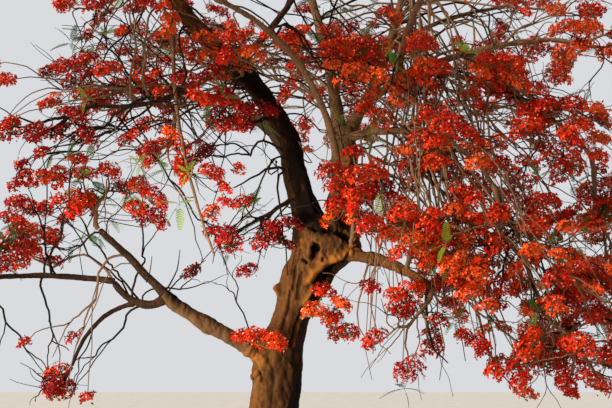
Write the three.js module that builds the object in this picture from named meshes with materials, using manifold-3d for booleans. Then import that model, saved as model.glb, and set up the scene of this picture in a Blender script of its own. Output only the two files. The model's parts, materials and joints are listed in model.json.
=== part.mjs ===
// Flame tree in full flower: a leaning trunk with a root flare, its main boughs, and the masses of
// blossom-laden twigs that the boughs carry. The tree is nearly leafless, as it is when it flowers.
// Millimetres, +Z up. The origin is the middle of the flat cut under the trunk, at ground level.
// The crown is open on its -Y side, low on its -X side, and weeps nearly to the ground on its +X side.
import * as THREE from "three";
import { mergeVertices } from "three/addons/utils/BufferGeometryUtils.js";
import Module from "manifold-3d";

const wasm = await Module();
wasm.setup();

// Clearances
const GAP = 0.3; // from a limb or a stem to what carries it
const SLEEVE = 0.4; // how much fatter the copy of a limb is that cuts its neighbours clear
const LIMB_MARGIN = 30; // least room between a twig or blossom and any limb
const SPACE_MARGIN = 45; // least room between a twig or blossom and the next mass's space

// The trunk: the centre and radius of each station, from the flat cut up to the fork.
const TRUNK_STATIONS = [
  { x: 0, z: 0, radius: 400 },
  { x: 4, z: 130, radius: 345 },
  { x: 12, z: 400, radius: 292 },
  { x: 50, z: 1170, radius: 264 },
  { x: 105, z: 1780, radius: 248 },
  { x: 205, z: 2135, radius: 205 },
  { x: 330, z: 2480, radius: 226 },
  { x: 490, z: 2830, radius: 240 },
  { x: 652, z: 3190, radius: 312 },
  { x: 695, z: 3430, radius: 235 },
];
const TRUNK_SIDES = 18;
const TRUNK_STEPS = 13;
const ROOT_LOBES = 5; // buttress roots round the flare
const ROOT_LOBE_DEPTH = 0.16; // as a share of the radius, at the ground
const ROOT_LOBE_HEIGHT = 420; // where the lobes have all but died away

// Each bough: what carries it and how far along, where its root is off that limb's middle, where its
// tip is, how far its middle bows from a straight line, and its radius at root and tip.
const BOUGHS = [
  // The three that rise from the fork.
  { name: "left_leader_foot", from: "trunk", at: 0.94, root: [-125, 0, 0], tip: [225, -150, 4350],
    bow: [-50, 0, 0], girth: [165, 128] },
  { name: "centre_stem", from: "trunk", at: 0.94, root: [145, 40, 0], tip: [890, 220, 4600],
    bow: [45, 20, 0], girth: [175, 122] },
  { name: "right_bough", from: "trunk", at: 0.86, root: [0, 0, 0], tip: [1790, -1000, 2480],
    bow: [60, 60, 150], girth: [88, 45] },

  // The left leader and what it carries.
  { name: "left_leader_bend", from: "left_leader_foot", at: 1, tip: [-530, -600, 5250],
    bow: [50, 20, 50], girth: [128, 113] },
  { name: "left_leader_top", from: "left_leader_bend", at: 1, tip: [-1700, -1150, 6850],
    bow: [-90, -60, -70], girth: [113, 55] },
  { name: "left_arm", from: "left_leader_bend", at: 0.96, root: [0, 0, 0], tip: [-1880, -1250, 4480],
    bow: [40, -40, -200], girth: [40, 24] },
  { name: "cross_limb", from: "left_leader_bend", at: 0.93, root: [0, 0, 0], tip: [520, -950, 6350],
    bow: [40, 60, -120], girth: [52, 30] },
  { name: "hanging_limb", from: "left_leader_top", at: 0.42, root: [0, 0, 0], tip: [-548, -1330, 2790],
    bow: [-170, -40, 20], girth: [30, 14] },
  { name: "back_left_bough", from: "left_leader_foot", at: 0.75, root: [0, 0, 0], tip: [-1100, 1850, 5500],
    bow: [60, -100, 220], girth: [88, 46] },

  // The centre stem and what it carries.
  { name: "centre_left_stem", from: "centre_stem", at: 0.97, root: [-45, 20, 0], tip: [260, 620, 7250],
    bow: [60, -60, 0], girth: [84, 42] },
  { name: "centre_right_stem", from: "centre_stem", at: 0.96, root: [60, 30, 0], tip: [1800, 1000, 7000],
    bow: [120, 60, 0], girth: [88, 46] },
  { name: "right_reach", from: "centre_right_stem", at: 0.2, root: [0, 0, 0], tip: [3450, -200, 5625],
    bow: [-90, 40, 190], girth: [62, 31] },
  { name: "high_right_bough", from: "centre_right_stem", at: 0.55, root: [0, 0, 0], tip: [3050, 900, 6500],
    bow: [-40, 60, 100], girth: [40, 26] },
  { name: "right_sweep", from: "centre_stem", at: 0.9, root: [30, -30, 0], tip: [2330, -1000, 3900],
    bow: [90, -60, 200], girth: [60, 28] },
  { name: "right_fall", from: "right_sweep", at: 1, tip: [2850, -1320, 2350],
    bow: [70, -20, 60], girth: [28, 19] },
  { name: "right_far_sweep", from: "right_reach", at: 0.3, root: [0, 0, 0], tip: [3950, 250, 4350],
    bow: [120, 200, 330], girth: [42, 26] },
  { name: "front_arch", from: "centre_stem", at: 0.3, root: [0, -60, 0], tip: [-450, -2050, 5350],
    bow: [260, -60, 320], girth: [52, 29] },
  { name: "back_bough", from: "centre_stem", at: 0.7, root: [0, 60, 0], tip: [780, 2150, 5800],
    bow: [0, -160, 220], girth: [92, 46] },
  { name: "back_right_bough", from: "centre_right_stem", at: 0.3, root: [0, 30, 0], tip: [2350, 1850, 5700],
    bow: [-60, 60, 170], girth: [60, 38] },
  { name: "front_right_bough", from: "right_reach", at: 0.2, root: [0, 0, 0], tip: [2080, -1950, 5850],
    bow: [-120, -60, 220], girth: [52, 33] },

  // The low bough on the left, its elbow and its three ends.
  { name: "low_left_bough", from: "trunk", at: 0.5, root: [0, 0, 0], tip: [-1242, -400, 2470],
    bow: [-30, 0, -60], girth: [98, 74] },
  { name: "low_left_rise", from: "low_left_bough", at: 0.97, root: [0, 0, 14], tip: [-1960, -600, 3200],
    bow: [10, 0, 10], girth: [52, 38] },
  { name: "low_left_elbow", from: "low_left_bough", at: 0.97, root: [0, 0, -14], tip: [-1792, -500, 2611],
    bow: [0, 0, -165], girth: [54, 41] },
  { name: "low_left_reach", from: "low_left_elbow", at: 1, tip: [-3250, -520, 2640],
    bow: [-60, 0, 45], girth: [41, 28] },
  { name: "low_left_droop", from: "low_left_elbow", at: 0.5, root: [0, 0, -10], tip: [-2170, -700, 1640],
    bow: [-90, 0, 130], girth: [31, 20] },
];
const BOUGH_SIDES = 7;
const BOUGH_STEP = 370; // about how far apart a bough's rings are
const SLIM_SIDES = 5;
const SLIM_GIRTH = 50; // boughs that start slimmer than this have fewer sides

// Each mass of flowering twigs: the limb that carries it and how far along, the middle of its space,
// that space's three half-widths, how many blossoms it ends in, and its own seed.
const MASSES = [
  // On the left leader and its arms.
  { name: "top_left_mass", from: "left_leader_top", at: 1, centre: [-2050, -1200, 7550],
    reach: [1250, 1250, 900], tips: 7, seed: 101 },
  { name: "left_shoulder_mass", from: "left_leader_top", at: 0.55, centre: [-1720, -1300, 5620],
    reach: [760, 700, 470], tips: 5, seed: 102 },
  { name: "left_middle_mass", from: "left_arm", at: 0.7, centre: [-1900, -900, 4890],
    reach: [700, 650, 400], tips: 6, seed: 103 },
  { name: "left_flank_mass", from: "left_arm", at: 1, centre: [-2420, -1200, 4230],
    reach: [720, 650, 370], tips: 5, seed: 104 },
  { name: "left_inner_mass", from: "left_arm", at: 0.45, centre: [-970, -1000, 3940],
    reach: [600, 560, 400], tips: 5, seed: 105 },
  { name: "left_hanging_mass", from: "left_leader_foot", at: 0.45, centre: [-300, -320, 3130],
    reach: [620, 560, 620], tips: 6, seed: 106 },
  { name: "leader_side_mass", from: "left_leader_bend", at: 0.25, centre: [-380, -950, 4380],
    reach: [430, 420, 480], tips: 4, seed: 107 },
  { name: "leader_front_mass", from: "left_leader_bend", at: 0.75, centre: [-480, -1300, 5040],
    reach: [560, 430, 420], tips: 5, seed: 108 },

  // On the low left bough and the trunk.
  { name: "left_lower_mass", from: "low_left_rise", at: 1, centre: [-2070, -650, 3640],
    reach: [880, 720, 430], tips: 6, seed: 109 },
  { name: "low_left_end_mass", from: "low_left_reach", at: 1, centre: [-3100, -560, 3060],
    reach: [1000, 800, 450], tips: 6, seed: 110 },
  { name: "low_left_droop_mass", from: "low_left_droop", at: 1, centre: [-2270, -760, 1450],
    reach: [380, 360, 330], tips: 3, seed: 111 },
  { name: "collar_mass", from: "low_left_bough", at: 0.25, centre: [-210, -500, 1960],
    reach: [330, 280, 230], tips: 2, seed: 112 },
  { name: "trunk_side_mass", from: "trunk", at: 0.62, centre: [640, -430, 2300],
    reach: [400, 360, 400], tips: 4, seed: 113 },

  // Over the middle and the front.
  { name: "front_left_mass", from: "front_arch", at: 1, centre: [-1000, -2750, 6000],
    reach: [1350, 1300, 900], tips: 8, seed: 114 },
  { name: "front_mass", from: "cross_limb", at: 1, centre: [650, -1700, 6900],
    reach: [1000, 1100, 800], tips: 6, seed: 115 },
  { name: "centre_mass", from: "centre_left_stem", at: 0.4, centre: [590, -250, 5480],
    reach: [560, 480, 440], tips: 5, seed: 116 },
  { name: "centre_low_mass", from: "right_bough", at: 0.28, centre: [1010, -680, 3760],
    reach: [470, 420, 520], tips: 5, seed: 117 },
  { name: "top_mass", from: "centre_left_stem", at: 1, centre: [150, 500, 7950],
    reach: [1250, 1300, 880], tips: 8, seed: 118 },
  { name: "top_right_mass", from: "centre_right_stem", at: 1, centre: [2200, 1300, 7750],
    reach: [1250, 1200, 850], tips: 7, seed: 119 },

  // On the right, down to the weeping skirt.
  { name: "right_upper_mass", from: "high_right_bough", at: 0.25, centre: [1750, 50, 5300],
    reach: [620, 560, 440], tips: 6, seed: 120 },
  { name: "right_inner_mass", from: "right_sweep", at: 0.45, centre: [1980, -700, 4150],
    reach: [680, 600, 420], tips: 6, seed: 121 },
  { name: "high_right_mass", from: "high_right_bough", at: 1, centre: [3600, 900, 6700],
    reach: [1150, 1200, 850], tips: 7, seed: 122 },
  { name: "right_end_mass", from: "right_reach", at: 1, centre: [3900, -400, 5450],
    reach: [950, 850, 580], tips: 7, seed: 123 },
  { name: "right_shoulder_mass", from: "right_reach", at: 0.62, centre: [3300, -850, 4320],
    reach: [780, 680, 480], tips: 6, seed: 124 },
  { name: "right_fan_mass", from: "right_bough", at: 0.75, centre: [1700, -1250, 3130],
    reach: [640, 560, 430], tips: 6, seed: 125 },
  { name: "right_droop_mass", from: "right_bough", at: 1, centre: [1480, -1150, 2000],
    reach: [620, 520, 640], tips: 6, seed: 126 },
  { name: "right_fall_mass", from: "right_fall", at: 0.2, centre: [2480, -1350, 2950],
    reach: [720, 620, 620], tips: 7, seed: 127 },
  { name: "right_skirt_mass", from: "right_fall", at: 1, centre: [3050, -1500, 1850],
    reach: [850, 720, 640], tips: 7, seed: 128 },
  { name: "right_far_fall_mass", from: "right_far_sweep", at: 1, centre: [4150, -50, 3150],
    reach: [950, 950, 1150], tips: 8, seed: 129 },
  { name: "front_right_mass", from: "front_right_bough", at: 1, centre: [2400, -2750, 6150],
    reach: [1350, 1300, 930], tips: 8, seed: 130 },

  // Round the back.
  { name: "back_left_mass", from: "back_left_bough", at: 1, centre: [-1850, 2650, 5900],
    reach: [1350, 1350, 1050], tips: 8, seed: 131 },
  { name: "left_back_mass", from: "back_left_bough", at: 0.6, centre: [-2200, 900, 5650],
    reach: [1150, 1050, 850], tips: 6, seed: 132 },
  { name: "back_mass", from: "back_bough", at: 1, centre: [650, 3200, 6050],
    reach: [1400, 1350, 1150], tips: 9, seed: 133 },
  { name: "back_right_mass", from: "back_right_bough", at: 1, centre: [3000, 2750, 5950],
    reach: [1350, 1300, 1100], tips: 8, seed: 134 },
];

// The growth rule's own numbers
const TRIES_PER_TIP = 24; // each blossom takes the roomiest of this many places
const TRIES_PER_TWIG = 10;
const INNER_SHARE = 0.3; // how empty the middle of a space is kept, as a share of its volume
const FORK_SHARE = 0.48; // how far towards its tips' middle a branch runs before it forks
const HANDLE = 0.36; // length of a twig curve's handles, as a share of its span
const WOBBLE = 0.09; // how far a handle strays, as a share of the span
const TIP_LIFT = 0.7; // how strongly a twig's end turns up
const TWIG_TIP_RADIUS = 11;
const TWIG_SIDES = 3;
const ROOT_SHARE = 0.5; // a side branch's root radius, as a share of the branch that carries it
const PATH_SAMPLES = 6;

// Blossom and leaf, each larger than life, because each stands for a spray
const BLOSSOM = { radius: 220, cone: 140, crown: 125, sides: 5 };
const LEAF = { length: 520, width: 190, thickness: 9, sink: 30, droop: -0.15 };
const LEAVES_PER_MASS = 1;

// How finely a curve is followed
const FRAME_COUNT = 60; // places along a curve whose crossways directions are worked out
const STRETCHES = 10; // straight stretches that a limb is taken as where twigs keep clear of it

const UP = new THREE.Vector3(0, 0, 1);
const vector = (place) => new THREE.Vector3(...place);

const BARK = new THREE.MeshStandardMaterial({ color: 0x7a4e2e, roughness: 0.92, metalness: 0 });
const BOUGH_BARK = new THREE.MeshStandardMaterial({ color: 0x8a6f57, roughness: 0.9, metalness: 0 });
const FLAME_RED = new THREE.MeshStandardMaterial({ color: 0xc9200f, roughness: 0.6, metalness: 0 });

// A closed geometry's surface as a solid that can be joined and cut.
function solidOf(geometry) {
  const bare = new THREE.BufferGeometry();
  bare.setAttribute("position", geometry.getAttribute("position").clone());
  bare.setIndex(geometry.index);
  const merged = mergeVertices(bare, 1e-3);
  return new wasm.Manifold(
    new wasm.Mesh({
      numProp: 3,
      vertProperties: new Float32Array(merged.attributes.position.array),
      triVerts: new Uint32Array(merged.index.array),
    }),
  );
}

// A solid's surface as a geometry whose own origin is at the given place.
function geometryOf(solid, origin) {
  const mesh = solid.getMesh();
  const geometry = new THREE.BufferGeometry();
  geometry.setAttribute("position", new THREE.BufferAttribute(new Float32Array(mesh.vertProperties), 3));
  geometry.setIndex(new THREE.BufferAttribute(new Uint32Array(mesh.triVerts), 1));
  geometry.translate(-origin.x, -origin.y, -origin.z);
  geometry.computeVertexNormals();
  return geometry;
}

// The largest connected body of a solid, so that no loose scrap of a cut is kept.
function largestBody(solid) {
  const bodies = solid.decompose();
  return bodies.reduce((best, body) => (body.volume() > best.volume() ? body : best));
}

// A closed tube along a curve: a cylinder bent onto it, with a ring at each given share of its length
// and a radius for each share and each angle. Its first ring can be made to face a given way.
function tubeGeometry(curve, radiusAt, sides, shares, rootFacing) {
  const frames = curve.computeFrenetFrames(FRAME_COUNT);
  const geometry = new THREE.CylinderGeometry(1, 1, 1, sides, shares.length - 1);
  const position = geometry.getAttribute("position");
  for (let i = 0; i < position.count; i += 1) {
    const across = new THREE.Vector2(position.getX(i), position.getZ(i));
    const ring = Math.round((position.getY(i) + 0.5) * (shares.length - 1));
    const frame = Math.round(shares[ring] * FRAME_COUNT);
    const normal = frames.normals[frame].clone();
    const binormal = frames.binormals[frame].clone().negate();
    if (ring === 0 && rootFacing) {
      normal.addScaledVector(rootFacing, -normal.dot(rootFacing)).normalize();
      binormal.crossVectors(normal, rootFacing);
    }
    const radius = radiusAt(shares[ring], Math.atan2(across.y, across.x));
    const place = curve.getPointAt(shares[ring]);
    place.addScaledVector(normal, across.x * radius);
    place.addScaledVector(binormal, across.y * radius);
    position.setXYZ(i, place.x, place.y, place.z);
  }
  return geometry;
}

// Shares of a length from its start to its end, evenly spaced.
const evenShares = (steps) => Array.from({ length: steps + 1 }, (_, i) => i / steps);

// A curve that can run a little past a limb's ends, for the sleeve that cuts its neighbours clear.
class LengthenedCurve extends THREE.Curve {
  constructor(curve, extra) {
    super();
    this.curve = curve;
    this.extra = extra;
  }

  getPoint(share) {
    const place = this.curve.getPointAt(share);
    if (share === 1) place.addScaledVector(this.curve.getTangentAt(1), this.extra);
    return place;
  }
}

// A point's distance from a limb's bark, by the nearest of its straight stretches.
function roomFrom(limb, place) {
  const nearest = new THREE.Vector3();
  let room = Infinity;
  for (const stretch of limb.stretches) {
    stretch.line.closestPointToPoint(place, true, nearest);
    room = Math.min(room, nearest.distanceTo(place) - stretch.radius);
  }
  return room;
}

// A limb with its straight stretches, which the growth rule keeps clear of.
function asLimb(name, curve, radiusAt, sides, steps, rootFacing) {
  const stretches = [];
  for (let i = 0; i < STRETCHES; i += 1) {
    const line = new THREE.Line3(curve.getPointAt(i / STRETCHES), curve.getPointAt((i + 1) / STRETCHES));
    stretches.push({ line, radius: radiusAt(i / STRETCHES) });
  }
  const shares = evenShares(steps);
  const solid = solidOf(tubeGeometry(curve, radiusAt, sides, shares, rootFacing));
  const fatter = (share, angle) => radiusAt(share, angle) + SLEEVE;
  const sleeve = solidOf(
    tubeGeometry(new LengthenedCurve(curve, SLEEVE), fatter, sides, shares, rootFacing),
  );
  return { name, curve, stretches, solid, sleeve };
}

// The trunk, with a radius read off its stations and lobed towards the ground.
function growTrunk() {
  const curve = new THREE.CatmullRomCurve3(TRUNK_STATIONS.map((s) => new THREE.Vector3(s.x, 0, s.z)));
  const radiusAt = (share, angle = 0) => {
    const height = curve.getPointAt(share).z;
    const upper = TRUNK_STATIONS.findIndex((s) => s.z >= height - 1e-6);
    const high = TRUNK_STATIONS[Math.max(upper, 1)];
    const low = TRUNK_STATIONS[Math.max(upper, 1) - 1];
    const radius = THREE.MathUtils.mapLinear(height, low.z, high.z, low.radius, high.radius);
    const lobe = ROOT_LOBE_DEPTH * Math.max(0, 1 - height / ROOT_LOBE_HEIGHT);
    return radius * (1 + lobe * Math.cos(ROOT_LOBES * angle));
  };
  return asLimb("trunk", curve, radiusAt, TRUNK_SIDES, TRUNK_STEPS, UP);
}

// A bough that carries straight on from another's tip faces it squarely, a gap away. Any other bough
// starts inside the limb that carries it, and that limb's sleeve then cuts it clear.
function growBough(bough, limbs) {
  const parent = limbs.get(bough.from);
  const carriesOn = bough.at === 1;
  const facing = carriesOn ? parent.curve.getTangentAt(1) : undefined;
  const root = parent.curve.getPointAt(bough.at);
  if (carriesOn) root.addScaledVector(facing, GAP);
  else root.add(vector(bough.root));
  const tip = vector(bough.tip);
  const handle = root.clone().lerp(tip, 0.5).addScaledVector(vector(bough.bow), 2);
  const curve = new THREE.QuadraticBezierCurve3(root, handle, tip);
  const [rootRadius, tipRadius] = bough.girth;
  const radiusAt = (share) => THREE.MathUtils.lerp(rootRadius, tipRadius, share);
  const sides = rootRadius < SLIM_GIRTH ? SLIM_SIDES : BOUGH_SIDES;
  const steps = Math.max(3, Math.round(curve.getLength() / BOUGH_STEP));
  const limb = asLimb(bough.name, curve, radiusAt, sides, steps, facing);
  for (const earlier of limbs.values()) {
    limb.solid = limb.solid.subtract(earlier.sleeve);
  }
  limb.solid = largestBody(limb.solid);
  return limb;
}

// A repeatable stream of numbers from 0 to 1: a linear congruential generator.
class Chance {
  constructor(seed) {
    this.state = seed;
    this.next();
    this.next();
  }

  next() {
    this.state = (Math.imul(this.state, 1664525) + 1013904223) >>> 0;
    return this.state / 4294967296;
  }

  // A vector whose three parts each lie within the given size of nought.
  stray(size) {
    const part = () => (2 * this.next() - 1) * size;
    return new THREE.Vector3(part(), part(), part());
  }
}

const middleOf = (places) =>
  places.reduce((sum, place) => sum.add(place), new THREE.Vector3()).divideScalar(places.length);

const directionTo = (from, to) => to.clone().sub(from).normalize();

// The two halves of a set of places, parted across the axis that they spread along most.
function partPlaces(places) {
  const box = new THREE.Box3().setFromPoints(places);
  const size = box.getSize(new THREE.Vector3());
  const axis = ["x", "y", "z"].reduce((widest, name) => (size[name] > size[widest] ? name : widest));
  const sorted = [...places].sort((a, b) => a[axis] - b[axis]);
  const half = Math.floor(sorted.length / 2);
  return [sorted.slice(0, half), sorted.slice(half)];
}

// How one mass grows: what is in its way, where its tips are, and the branches that reach them.
class Growth {
  constructor(mass, carrier, obstacles) {
    this.mass = mass;
    this.carrier = carrier;
    this.obstacles = obstacles;
    this.chance = new Chance(mass.seed);
    this.branches = [];
  }

  // Whether a ball lies on the mass's own side of the plane half way to each other mass.
  isOnOwnSide(place, radius) {
    const own = vector(this.mass.centre);
    for (const other of MASSES) {
      if (other === this.mass) continue;
      const away = directionTo(vector(other.centre), own);
      const halfway = vector(other.centre).lerp(own, 0.5);
      if (place.clone().sub(halfway).dot(away) < radius + SPACE_MARGIN) return false;
    }
    return true;
  }

  // Whether a ball is clear of every limb and every mass grown before, but for the limb that is left out.
  isClear(place, radius, leftOut) {
    for (const obstacle of this.obstacles) {
      if (obstacle !== leftOut && roomFrom(obstacle, place) < radius + LIMB_MARGIN) return false;
    }
    return true;
  }

  // A random place in the mass's ellipsoid, seldom near its middle, where a blossom fits.
  placeInside() {
    const height = 2 * this.chance.next() - 1;
    const turn = 2 * Math.PI * this.chance.next();
    const share = Math.cbrt(THREE.MathUtils.lerp(INNER_SHARE, 1, this.chance.next()));
    const flat = Math.sqrt(1 - height * height);
    const unit = new THREE.Vector3(flat * Math.cos(turn), flat * Math.sin(turn), height);
    const reach = vector(this.mass.reach).subScalar(BLOSSOM.radius);
    return unit.multiplyScalar(share).multiply(reach).add(vector(this.mass.centre));
  }

  // The places where the mass's twigs end in blossom, each as far from the others as it can be.
  tipPlaces() {
    const tips = [];
    for (let n = 0; n < this.mass.tips; n += 1) {
      let best = null;
      let bestRoom = -1;
      for (let i = 0; i < TRIES_PER_TIP; i += 1) {
        const place = this.placeInside();
        const room = tips.reduce((least, tip) => Math.min(least, tip.distanceTo(place)), 1e9);
        if (room < bestRoom || !this.isOnOwnSide(place, BLOSSOM.radius)) continue;
        if (!this.isClear(place, BLOSSOM.radius)) continue;
        best = place;
        bestRoom = room;
      }
      if (best) tips.push(best);
    }
    return tips;
  }

  // A twig that leaves one place along one direction and arrives at another along a second. Each try
  // strays further than the one before, and the first that has room is taken.
  twigCurve(from, leaving, to, arriving, radius, isStem) {
    const span = from.distanceTo(to);
    for (let i = 1; i <= TRIES_PER_TWIG; i += 1) {
      const first = from.clone().addScaledVector(leaving, span * HANDLE);
      const second = to.clone().addScaledVector(arriving, -span * HANDLE);
      first.add(this.chance.stray(span * WOBBLE * i));
      second.add(this.chance.stray(span * WOBBLE * i));
      const curve = new THREE.CubicBezierCurve3(from, first, second, to);
      if (this.hasRoom(curve, radius, isStem)) return curve;
    }
    return null;
  }

  // Whether a twig is clear of what is in its way and keeps to its mass's own side of each plane. The
  // stem, which has yet to reach that space, only has to be clear.
  hasRoom(curve, radius, isStem) {
    for (let i = 1; i <= PATH_SAMPLES; i += 1) {
      const place = curve.getPoint(i / PATH_SAMPLES);
      if (!this.isClear(place, radius, isStem ? this.carrier : null)) return false;
      if (!isStem && !this.isOnOwnSide(place, radius)) return false;
    }
    return true;
  }

  // The growth rule. A branch runs part of the way to the middle of its tips, forks there, and each
  // fork takes half of them, until each twig ends at one tip. One side of a fork carries its branch
  // on, and the other starts a branch of its own. A twig that finds no room is left out with all that
  // it would carry.
  branchOut(branch, from, leaving, tips) {
    const isStem = !this.branches.length;
    const blossoms = tips.length === 1;
    const goal = middleOf(tips);
    const to = blossoms ? goal : from.clone().lerp(goal, FORK_SHARE);
    const arriving = directionTo(from, to);
    if (blossoms) arriving.addScaledVector(UP, TIP_LIFT).normalize();
    const radius = TWIG_TIP_RADIUS * Math.sqrt(tips.length);
    const curve = this.twigCurve(from, leaving, to, arriving, radius, isStem);
    if (!curve) return;
    if (!branch.twigs.length) this.branches.push(branch);
    branch.twigs.push({ curve, radius, arriving, blossoms });
    if (blossoms) return;
    const fork = { branch, twig: branch.twigs.length - 1 };
    partPlaces(tips).forEach((part, side) => {
      const outward = directionTo(to, middleOf(part)).add(arriving).normalize();
      this.branchOut(side ? { twigs: [], fork } : branch, to, outward, part);
    });
  }

  // The leaves: each leaves a twig below a fork, level and outward.
  leafSolids() {
    const solids = [];
    const twigs = this.branches.flatMap((branch) => branch.twigs).filter((twig) => !twig.blossoms);
    for (const twig of twigs.slice(-LEAVES_PER_MASS)) {
      const root = twig.curve.getPoint(0.5);
      const turn = 2 * Math.PI * this.chance.next();
      const outward = new THREE.Vector3(Math.cos(turn), Math.sin(turn), LEAF.droop).normalize();
      const middle = root.clone().addScaledVector(outward, LEAF.length / 2);
      if (!this.isOnOwnSide(middle, LEAF.length / 2)) continue;
      if (this.isClear(middle, LEAF.length / 2)) solids.push(leafSolid(root, outward));
    }
    return solids;
  }

  // What the mass puts in the way of those grown after it.
  asObstacle() {
    const stretches = [];
    for (const twig of this.branches.flatMap((branch) => branch.twigs)) {
      const half = twig.curve.getPoint(0.5);
      const { radius } = twig;
      stretches.push({ line: new THREE.Line3(twig.curve.v0, half), radius });
      stretches.push({ line: new THREE.Line3(half, twig.curve.v3), radius });
      const end = new THREE.Line3(twig.curve.v3, twig.curve.v3);
      if (twig.blossoms) stretches.push({ line: end, radius: BLOSSOM.radius });
    }
    return { stretches };
  }
}

// The rings of a branch's tube: at its root, half way along each of its twigs, and at its end. The
// root of a branch that leaves a fork lies within the branch that carries it.
function ringsOf(branch) {
  const { twigs, fork } = branch;
  const rings = [{ place: twigs[0].curve.v0.clone(), radius: twigs[0].radius }];
  if (fork) {
    const [before, after] = ringsOf(fork.branch).slice(fork.twig + 1, fork.twig + 3);
    const axis = new THREE.Line3(before.place, after.place);
    axis.closestPointToPoint(rings[0].place.clone(), true, rings[0].place);
    rings[0].radius = Math.min(rings[0].radius, ROOT_SHARE * after.radius);
  }
  for (const twig of twigs) rings.push({ place: twig.curve.getPoint(0.5), radius: twig.radius });
  const last = twigs[twigs.length - 1];
  rings.push({ place: last.curve.v3.clone(), radius: 0.8 * last.radius });
  return rings;
}

// A branch as one three-sided tube through its rings.
function branchSolid(branch, rootFacing) {
  const rings = ringsOf(branch);
  const path = new THREE.CurvePath();
  rings.slice(1).forEach((ring, i) => path.add(new THREE.LineCurve3(rings[i].place, ring.place)));
  const lengths = path.getCurveLengths();
  const shares = [0, ...lengths.map((length) => length / path.getLength())];
  const radiusAt = (share) => rings[shares.indexOf(share)].radius;
  return solidOf(tubeGeometry(path, radiusAt, TWIG_SIDES, shares, rootFacing));
}

// A head of blossom: a five-sided cone of flower stalks under a low dome, its middle on the twig's end.
function blossomSolid(place, facing) {
  const outline = [
    new THREE.Vector2(0, -BLOSSOM.cone),
    new THREE.Vector2(BLOSSOM.radius, 0),
    new THREE.Vector2(0, BLOSSOM.crown),
  ];
  const geometry = new THREE.LatheGeometry(outline, BLOSSOM.sides);
  const turn = new THREE.Quaternion().setFromUnitVectors(new THREE.Vector3(0, 1, 0), facing);
  geometry.applyQuaternion(turn);
  geometry.translate(place.x, place.y, place.z);
  return solidOf(geometry);
}

// A feathery leaf as one thin long blade of eight faces, its root sunk in the twig.
function leafSolid(root, outward) {
  const geometry = new THREE.OctahedronGeometry(1);
  geometry.scale(LEAF.length / 2, LEAF.width / 2, LEAF.thickness / 2);
  geometry.translate(LEAF.length / 2 - LEAF.sink, 0, 0);
  const turn = new THREE.Quaternion().setFromUnitVectors(new THREE.Vector3(1, 0, 0), outward);
  geometry.applyQuaternion(turn);
  geometry.translate(root.x, root.y, root.z);
  return solidOf(geometry);
}

// A mass of flowering twigs, fused into one solid. On a limb's tip its stem faces the tip squarely, a
// gap away. On a limb's side the stem starts inside the limb, whose sleeve then cuts it clear.
function growMass(mass, limbs, obstacles) {
  const parent = limbs.get(mass.from);
  const onTip = mass.at === 1;
  const facing = onTip ? parent.curve.getTangentAt(1) : undefined;
  const root = parent.curve.getPointAt(mass.at);
  if (onTip) root.addScaledVector(facing, GAP);
  const growth = new Growth(mass, parent, obstacles);
  const leaving = onTip ? facing : directionTo(root, vector(mass.centre));
  growth.branchOut({ twigs: [] }, root, leaving, growth.tipPlaces());
  let solid = branchSolid(growth.branches[0], facing);
  for (const branch of growth.branches.slice(1)) solid = solid.add(branchSolid(branch));
  for (const twig of growth.branches.flatMap((branch) => branch.twigs)) {
    if (twig.blossoms) solid = solid.add(blossomSolid(twig.curve.v3, twig.arriving));
  }
  for (const leaf of growth.leafSolids()) solid = solid.add(leaf);
  if (!onTip) solid = solid.subtract(parent.sleeve);
  return { solid: largestBody(solid), root, obstacle: growth.asObstacle() };
}

// A named mesh placed at its root.
function meshOf(name, solid, root, material) {
  const mesh = new THREE.Mesh(geometryOf(solid, root), material);
  mesh.name = name;
  mesh.position.copy(root);
  return mesh;
}

const limbs = new Map();
limbs.set("trunk", growTrunk());
for (const bough of BOUGHS) limbs.set(bough.name, growBough(bough, limbs));

const wood = new THREE.Group();
for (const limb of limbs.values()) {
  const material = limb.name === "trunk" ? BARK : BOUGH_BARK;
  wood.add(meshOf(limb.name, limb.solid, limb.curve.getPoint(0), material));
}

const crown = new THREE.Group();
const obstacles = [...limbs.values()];
for (const mass of MASSES) {
  const grown = growMass(mass, limbs, obstacles);
  obstacles.push(grown.obstacle);
  crown.add(meshOf(mass.name, grown.solid, grown.root, FLAME_RED));
}

const tree = new THREE.Group();
tree.add(wood, crown);

export default tree;
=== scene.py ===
"""The looks of a flame tree in full flower: a leaning, knotted trunk, twisting boughs and an open crown.

The trunk and boughs are modelled with their bark's relief. Each mass of blossom grows again by the
seeded rule of the part's solids, and is carried on from there to finer twigs, heads of single flowers,
buds and feathery leaves. The growth counts in millimetres, as the part's source does, and every
finished mesh is in metres, +Z up.
"""

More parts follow.
